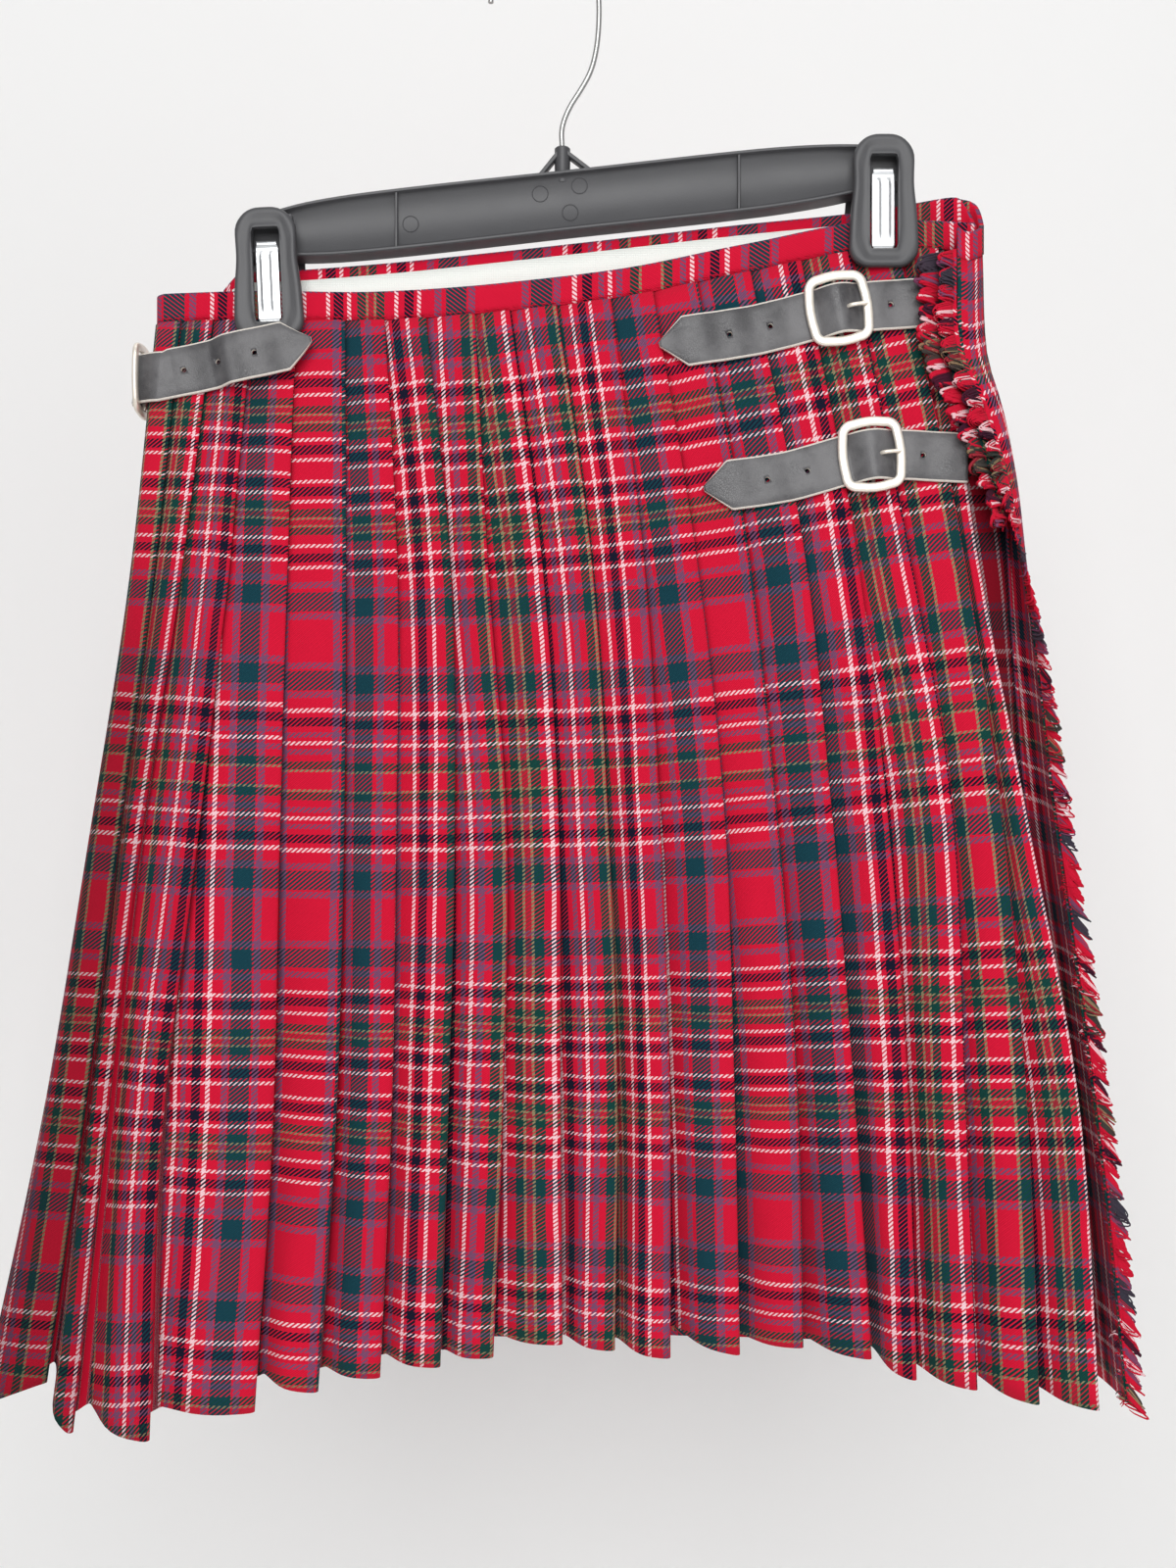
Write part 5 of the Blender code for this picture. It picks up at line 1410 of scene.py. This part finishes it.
def right_strap(name, points, buckle_mm, holes):
    buckle = buckle_mm * MM
    made = strap_body(name + "_leather", tail_stations(points, buckle, no_lift, points[0][0] * MM))
    punch(made, points, holes, no_lift)
    finish_piece(made, "leather", name)
    (x, z), across = strap_frame(points, strap_share(points, buckle))
    t = share_at(x, z)
    slope = (near_y(x + SMALL, t) - near_y(x - SMALL, t)) / (2 * SMALL)
    along_strap = Vector((across.y, slope * across.y, -across.x)).normalized()
    upward = Vector((across.x, 0, across.y))
    upward = (upward - along_strap * upward.dot(along_strap)).normalized()
    outward = along_strap.cross(upward)
    outward = -outward if outward.y > 0 else outward
    centre = Vector((x, front_y(x, z) - LEATHER_GAP, z))
    buckle_name = name.replace("strap", "buckle")
    cast_buckle(buckle_name, centre, upward, along_strap, outward, BUCKLE_OUT, BAR_GAP_RIGHT, BULGE)


def make_straps():
    for row in STRAPS_MM:
        right_strap(*row)
    z = STRAP_LEFT_TAIL_MM[0][1] * MM
    seen = face_of(left_strap())
    ends = [STRAP_LEFT_END_X + place for place in STRAP_LEFT_SEWN]
    lines = [(seen, 1, lambda x, offset=offset: z + offset, *ends) for offset in STRAP_LEFT_ROWS]
    stitches("strap_left_stitches", THREAD_BLACK, lines)
    centre = round_left_side(math.pi / 2, z)(0.0, STRAP_WALL + SIDE_BULGE)
    out = BUCKLE_OUT - STRAP_WALL
    cast_buckle("buckle_left", centre, UP, AWAY, Vector((-1, 0, 0)), out, BAR_GAP_LEFT, SIDE_BULGE)


def make_fringes():
    return [piece for row in FRINGES for piece in fringe(row)]


# ---------------------------------------------------------------- hanger


def rounded_outline(centre_x, top, tall, halves, corners, waist=0.0, count=JAW_POINTS):
    """Points round a plate this tall, with half widths and corners for its top and its foot. Its sides draw
    in by waist."""
    points = []
    middle = top - tall / 2
    for i in range(count):
        angle = 2 * math.pi * i / count
        c, s = math.cos(angle), math.sin(angle)
        corner = corners[0 if s > 0 else 1]
        # Walk out from the middle until the rounded rectangle ends.
        low, high = 0.0, tall / 2 + halves[0 if s > 0 else 1]
        for _ in range(26):
            reach = (low + high) / 2
            x, z = abs(c) * reach, abs(s) * reach
            share = s * reach / tall + 0.5
            wide = halves[1] + (halves[0] - halves[1]) * clamped(share)
            wide -= waist * math.exp(-(((share - 0.62) / 0.16) ** 2))
            dx, dz = x - (wide - corner), z - (tall / 2 - corner)
            inside = x < wide and z < tall / 2 and (dx < 0 or dz < 0 or math.hypot(dx, dz) < corner)
            low, high = (reach, high) if inside else (low, reach)
        points.append((centre_x + c * low, middle + s * low))
    return points


def moulded_block(heap, low, high, edge=0.0005):
    """A block with bevelled edges, from its lowest corner to its highest."""
    half = [(b - a) / 2 for a, b in zip(low, high)]
    edge = min(edge, *(v * 0.45 for v in half))
    points, index = [], {}
    corners = list(itertools.product((-1, 1), repeat=3))
    for corner in corners:
        for axis in range(3):
            # This point of the corner lies on the face across axis, so only its other two places draw in.
            index[(*corner, axis)] = len(points)
            sizes = [v - (edge if k != axis else 0) for k, v in enumerate(half)]
            points.append([(a + b) / 2 + sign * v for a, b, sign, v in zip(low, high, corner, sizes)])

    def at(axis, sign, others, which):
        corner = [0, 0, 0]
        corner[axis], corner[(axis + 1) % 3], corner[(axis + 2) % 3] = sign, *others
        return index[(*corner, which % 3)]

    faces = []
    around = ((-1, -1), (1, -1), (1, 1), (-1, 1))
    for axis in range(3):
        faces += [[at(axis, sign, others, axis) for others in around] for sign in (-1, 1)]
        turns = ((-1, 1), (1, 1), (1, 2), (-1, 2))
        faces += [[at(axis, sign, others, axis + k) for sign, k in turns] for others in around]
    faces += [[index[(*corner, axis)] for axis in range(3)] for corner in corners]
    heap.add(points, faces)


def clip_jaw(name, side, x, top, lean):
    """A moulded jaw with a rolled rim. The front one has a window with a lip."""
    front = side == "front"
    outer_y, inner_y = JAW_FRONT if front else JAW_BACK
    sign = -1 if front else 1
    deep = abs(inner_y - outer_y)
    outer = rounded_outline(x, top, CLIP_TALL, (CLIP_TOP_HALF, CLIP_HALF), CLIP_CORNERS, CLIP_WAIST)
    inner = [(x, top - CLIP_TALL / 2)] * JAW_POINTS
    edge, face = JAW_SECTIONS_MM[side]
    section = [(share, deep * k) for share, k in zip(edge, JAW_EDGE)]
    section += [(share, depth * MM) for share, depth in face]
    if front:
        inner = rounded_outline(x, top - WINDOW_DROP, WINDOW_TALL, (WINDOW_HALF,) * 2, (WINDOW_CORNER,) * 2)
        section.append((1.0, deep))
    heap = Heap()
    points = []
    for share, depth in section:
        for (ox, oz), (ix, iz) in zip(outer, inner):
            points.append((ox + (ix - ox) * share, outer_y - sign * depth, oz + (iz - oz) * share))
    heap.add(points, ring_faces(len(section), JAW_POINTS, closed=front))
    root = inner_y + sign * JAW_OVERLAP
    pad_top = (rim_near(x) if front else CLIP_RIM_FAR_MM[name] * MM) - PAD_BELOW
    ends = sorted((root, PAD_NEAR if front else PAD_FAR))
    for left, right in (PAD_X, (-PAD_X[1], -PAD_X[0])):
        moulded_block(heap, (x + left, ends[0], pad_top - PAD_TALL), (x + right, ends[1], pad_top))
    # Two ribs ride on the bar.
    ends = sorted((root, sign * (BAR_HALF_DEEP + 0.0003)))
    for at in (x - RIB_X, x + RIB_X):
        foot, head = (bar_centre(at) + z for z in RIB_Z)
        moulded_block(heap, (at - RIB_HALF, ends[0], foot), (at + RIB_HALF, ends[1], head))
    heap.tilt(x, top - CLIP_TALL, lean)
    return finish_piece(heap.build(f"{name}_{side}_jaw", BLACK, sharp=SHARP), "plastic", f"{name}_{side}")


def bar_centre(x):
    return BAR_CENTRE_Z + (x - BAR_CENTRE_X) * BAR_SLOPE


def hanger_bar():
    """A channel-sided bar with thin flanges, two ribs, round marks from its mould and the hook's neck."""
    heap = Heap()
    ends = [section[0] for section in (BAR_SECTIONS[0], BAR_SECTIONS[-1])]
    xs = np.linspace(*ends, 60)
    edge = 0.0005
    deep, flat = BAR_HALF_DEEP, BAR_HALF_WEB
    points = []
    for x in xs:
        top = eased_at(BAR_SECTIONS, x) / 2
        web = top - BAR_FLANGE
        half = [(-deep + edge, top), (deep - edge, top), (deep, top - edge), (deep, web + edge * 0.6)]
        half += [(deep - edge * 0.6, web), (flat + 0.0012, web - 0.0002), (flat, web - 0.0016)]
        ring = half + [(y, -z) for y, z in reversed(half[1:])]
        ring += [(-y, -z) for y, z in half[1:]] + [(-y, z) for y, z in reversed(half[2:])]
        points += [(x, y, bar_centre(x) + z) for y, z in ring]
    heap.add(points, ring_faces(len(xs), len(ring)))
    deep -= 0.0006
    for x in (ends[0] + 0.0007, *BAR_RIBS, ends[1] - 0.0007):
        tall = eased_at(BAR_SECTIONS, x) / 2 - BAR_FLANGE / 2
        low, high = bar_centre(x) - tall, bar_centre(x) + tall
        moulded_block(heap, (x - BAR_RIB_HALF, -deep, low), (x + BAR_RIB_HALF, deep, high), 0.0003)
    angles = [math.pi * i / 14 for i in range(28)]
    for x, z in BAR_MARKS_MM:
        turn = [(BAR_MARK * math.cos(a), BAR_MARK * math.sin(a)) for a in angles]
        ring = [(x * MM + a, -flat - 0.0001, z * MM + b) for a, b in turn]
        sweep(heap, ring, ring_section(0.0002, 0.0002, 6), -AWAY, closed=True)
    # The neck is a tube round the hook's stem, on two struts.
    top, outer, bore = NECK_TOP, NECK_HALF, HOOK_BORE
    profile = [(outer, bar_centre(NECK_X) + BAR_HALF_TALL - 0.004), (outer, top - 0.0006)]
    profile += [(outer - 0.0006, top), (bore + 0.0003, top), (bore, top - 0.0004), (bore, top - 0.0095)]
    points = [(NECK_X + r * math.cos(a), r * math.sin(a), z) for r, z in profile for a in angles]
    heap.add(points, ring_faces(len(profile), len(angles)))
    for x in NECK_FEET:
        start = Vector((NECK_X + math.copysign(0.0015, x - NECK_X), 0, top - 0.0024))
        end = Vector((x, 0, bar_centre(x) + BAR_HALF_TALL - 0.0008))
        sweep(heap, [start, end], ring_section(0.0011, 0.0025, 12, 4.0), AWAY)
    return finish_piece(heap.build("hanger_bar_moulding", BLACK, sharp=SHARP), "plastic", "hanger_bar")


def hook():
    points = [(x * MM, 0, z * MM) for x, z in HOOK_STEM_MM]
    centre = WIRE_RADIUS - CROWN_RADIUS
    for i in range(13):
        angle = math.pi * i / 12
        points.append((CROWN_RADIUS * math.cos(angle), 0, centre + CROWN_RADIUS * math.sin(angle)))
    points.append((-CROWN_RADIUS, 0, centre - 0.0012))
    path = rounded_line(points, 6)
    heap = Heap()
    section = ring_section(WIRE_RADIUS, WIRE_RADIUS, 16)
    sweep(heap, path, section, AWAY, taper=rounded_tip(len(path), 0.0012, 0.0004))
    return finish_piece(heap.build("hook_wire", WIRE), "steel", "hanger_hook")


def spring_strip(name, x, top, lean):
    """A leaf of bright steel with two pressed ridges and rolled ends."""
    s, u = np.meshgrid(np.arange(41) / 40, -1 + 2 * np.arange(18) / 17, indexing="ij")

    def hump(value, middle, wide):
        return np.exp(-(((value - middle) / wide) ** 2))

    def ramp(start, end):
        return np.clip((s - start) / (end - start), 0, 1)

    ridge = 0.0006 * hump(abs(u), 0.42, 0.13) * ramp(0.12, 0.18) * ramp(0.86, 0.80)
    roll = 0.0011 * (hump(s, 0.035, 0.03) + hump(s, 0.965, 0.03))
    step = 0.00042 * ramp(0.09, 0.12) * ramp(0.93, 0.90)
    wide = SPRING_HALF * np.where((s > 0.05) & (s < 0.95), 1.0, 0.88)
    z = top - SPRING_DROP - (SPRING_END - SPRING_DROP) * s
    face = np.stack([x + u * wide, SPRING_FRONT - ridge - roll - step, z], axis=-1).reshape(-1, 3)
    heap = Heap()
    heap.add(np.vstack([face, face + (0, SPRING_WALL, 0)]).tolist(), slab_faces(*s.shape))
    heap.tilt(x, top - CLIP_TALL, lean)
    return finish_piece(heap.build(name + "_leaf", STRIP), "steel", name + "_spring")


def make_hanger():
    hanger_bar()
    for name, *rest in CLIPS:
        clip_jaw(name, "front", *rest)
        clip_jaw(name, "back", *rest)
        spring_strip(name, *rest)
    hook()


# ---------------------------------------------------------------- set and camera


def light(name, place, aim, size, power):
    lamp = bpy.data.lights.new(name, "AREA")
    lamp.shape = "RECTANGLE"
    lamp.size, lamp.size_y = size
    lamp.energy = power
    made = placed(name, lamp)
    made.location = place
    made.rotation_euler = (Vector(aim) - Vector(place)).to_track_quat("-Z", "Y").to_euler()


def paper_finish():
    """Pale paper with one side only, so it doesn't hide the kilt from behind or from below."""
    paper = Finish("floor_paper", Roughness=0.9)
    paper.set(Base_Color=paper.mix(paper.noise(3.0), (0.89, 0.89, 0.885), (0.92, 0.92, 0.915)))
    behind = paper.node("ShaderNodeNewGeometry", output=6)
    clear = paper.node("ShaderNodeBsdfTransparent")
    both = paper.node("ShaderNodeMixShader", {}, (behind, Signal(paper, paper.shader.outputs[0]), clear))
    paper.feed(paper.tree.nodes["Material Output"].inputs[0], both)
    return paper.material


def studio():
    """A sheet of paper that curves up behind the kilt, the lights and the camera."""
    floor, back, bend = -1.500, 0.42, 0.30
    profile = [(-3.0, floor), (back - bend, floor)]
    for a in (math.pi / 2 * i / 16 for i in range(1, 17)):
        profile.append((back - bend + bend * math.sin(a), floor + bend * (1 - math.cos(a))))
    profile.append((back, 2.6))
    count = len(profile)
    mesh = bpy.data.meshes.new("floor")
    points = [(x, y, z) for x in (-3.5, 3.5) for y, z in profile]
    mesh.from_pydata(points, [], [(i, i + count, i + count + 1, i + 1) for i in range(count - 1)])
    mesh.shade_smooth()
    mesh.materials.append(paper_finish())
    placed("floor", mesh)
    scene = bpy.context.scene
    scene.world = bpy.data.worlds.new("studio")
    scene.world.use_nodes = True
    sky = scene.world.node_tree.nodes["Background"].inputs
    sky[0].default_value = (1, 1, 1, 1)
    sky[1].default_value = 0.34
    scene.view_settings.view_transform = "Standard"
    light("key", (-0.05, -1.9, 0.35), (0, 0, -0.45), (1.3, 1.3), 30)
    light("fill", (1.2, -1.8, -0.5), (0, 0, -0.45), (1.4, 1.4), 6)
    light("top", (0.0, -0.2, 1.5), (0, 0.0, -0.3), (1.6, 1.0), 5)
    camera = bpy.data.cameras.new("camera")
    camera.sensor_fit = "VERTICAL"
    camera.sensor_height = 36.0
    camera.lens = 37.01
    camera.clip_start = 0.01
    scene.camera = placed("camera", camera)
    scene.camera.location = (0.0187, -0.700, -0.3626)
    scene.camera.rotation_euler = (math.pi / 2, 0, 0)


# ---------------------------------------------------------------- the kilt

TARTAN = tartan_finish("tartan_wool")
YARN = tartan_finish("fringe_wool", wefts_only=True)
COTTON = cotton_finish()
LEATHER = leather_finish()
RAW_EDGE = raw_edge_finish()
THREAD_BLACK = Finish("strap_thread", Roughness=0.7, Base_Color=(0.020, 0.020, 0.022)).material
NICKEL = nickel_finish()
WIRE = steel_finish("hook_wire", (0.52, 0.52, 0.51), 0.30)
STRIP = steel_finish("clip_strip", (0.80, 0.82, 0.84), 0.32)
BLACK = plastic_finish("hanger_plastic", (0.051, 0.051, 0.055), 0.38)


def make_cloth():
    finish_cloth("kilt_pleats", "pleated_back", pleated_back())
    rows = apron_rows(over_apron_points, HEM_EDGE, HEM_FAR, APRON_PLACES["outer_apron"])
    finish_cloth("outer_apron", "over_apron", rows, sewn_on=lambda made: make_fringes())
    rows = apron_rows(under_apron_points, HEM_INNER, HEM_FAR + HEM_LIFT, APRON_PLACES["inner_apron"])
    finish_cloth("inner_apron", "under_apron", rows)
    finish_cloth("lining_cloth", "lining", lining_rows(), LINING_WALL, COTTON, "cotton")
    finish_cloth("waistband_cloth", "waistband", waistband_rows(), BAND_WALL, sewn_on=band_stitches)


def band_stitches(made):
    """A row of stitches along the band's lower edge, on its near side and on its far side."""
    seen = face_of(made)
    near = (seen, -1, lambda x: rim_near(x) - BAND_HEIGHT + BAND_SEWN, -0.172, 0.172)
    far = (seen, 1, lambda x: rim_far(x) - BAND_HEIGHT + BAND_SEWN, -0.160, 0.180)
    return [stitches("waistband_stitches", YARN, (near, far))]


studio()
make_cloth()
make_straps()
make_hanger()
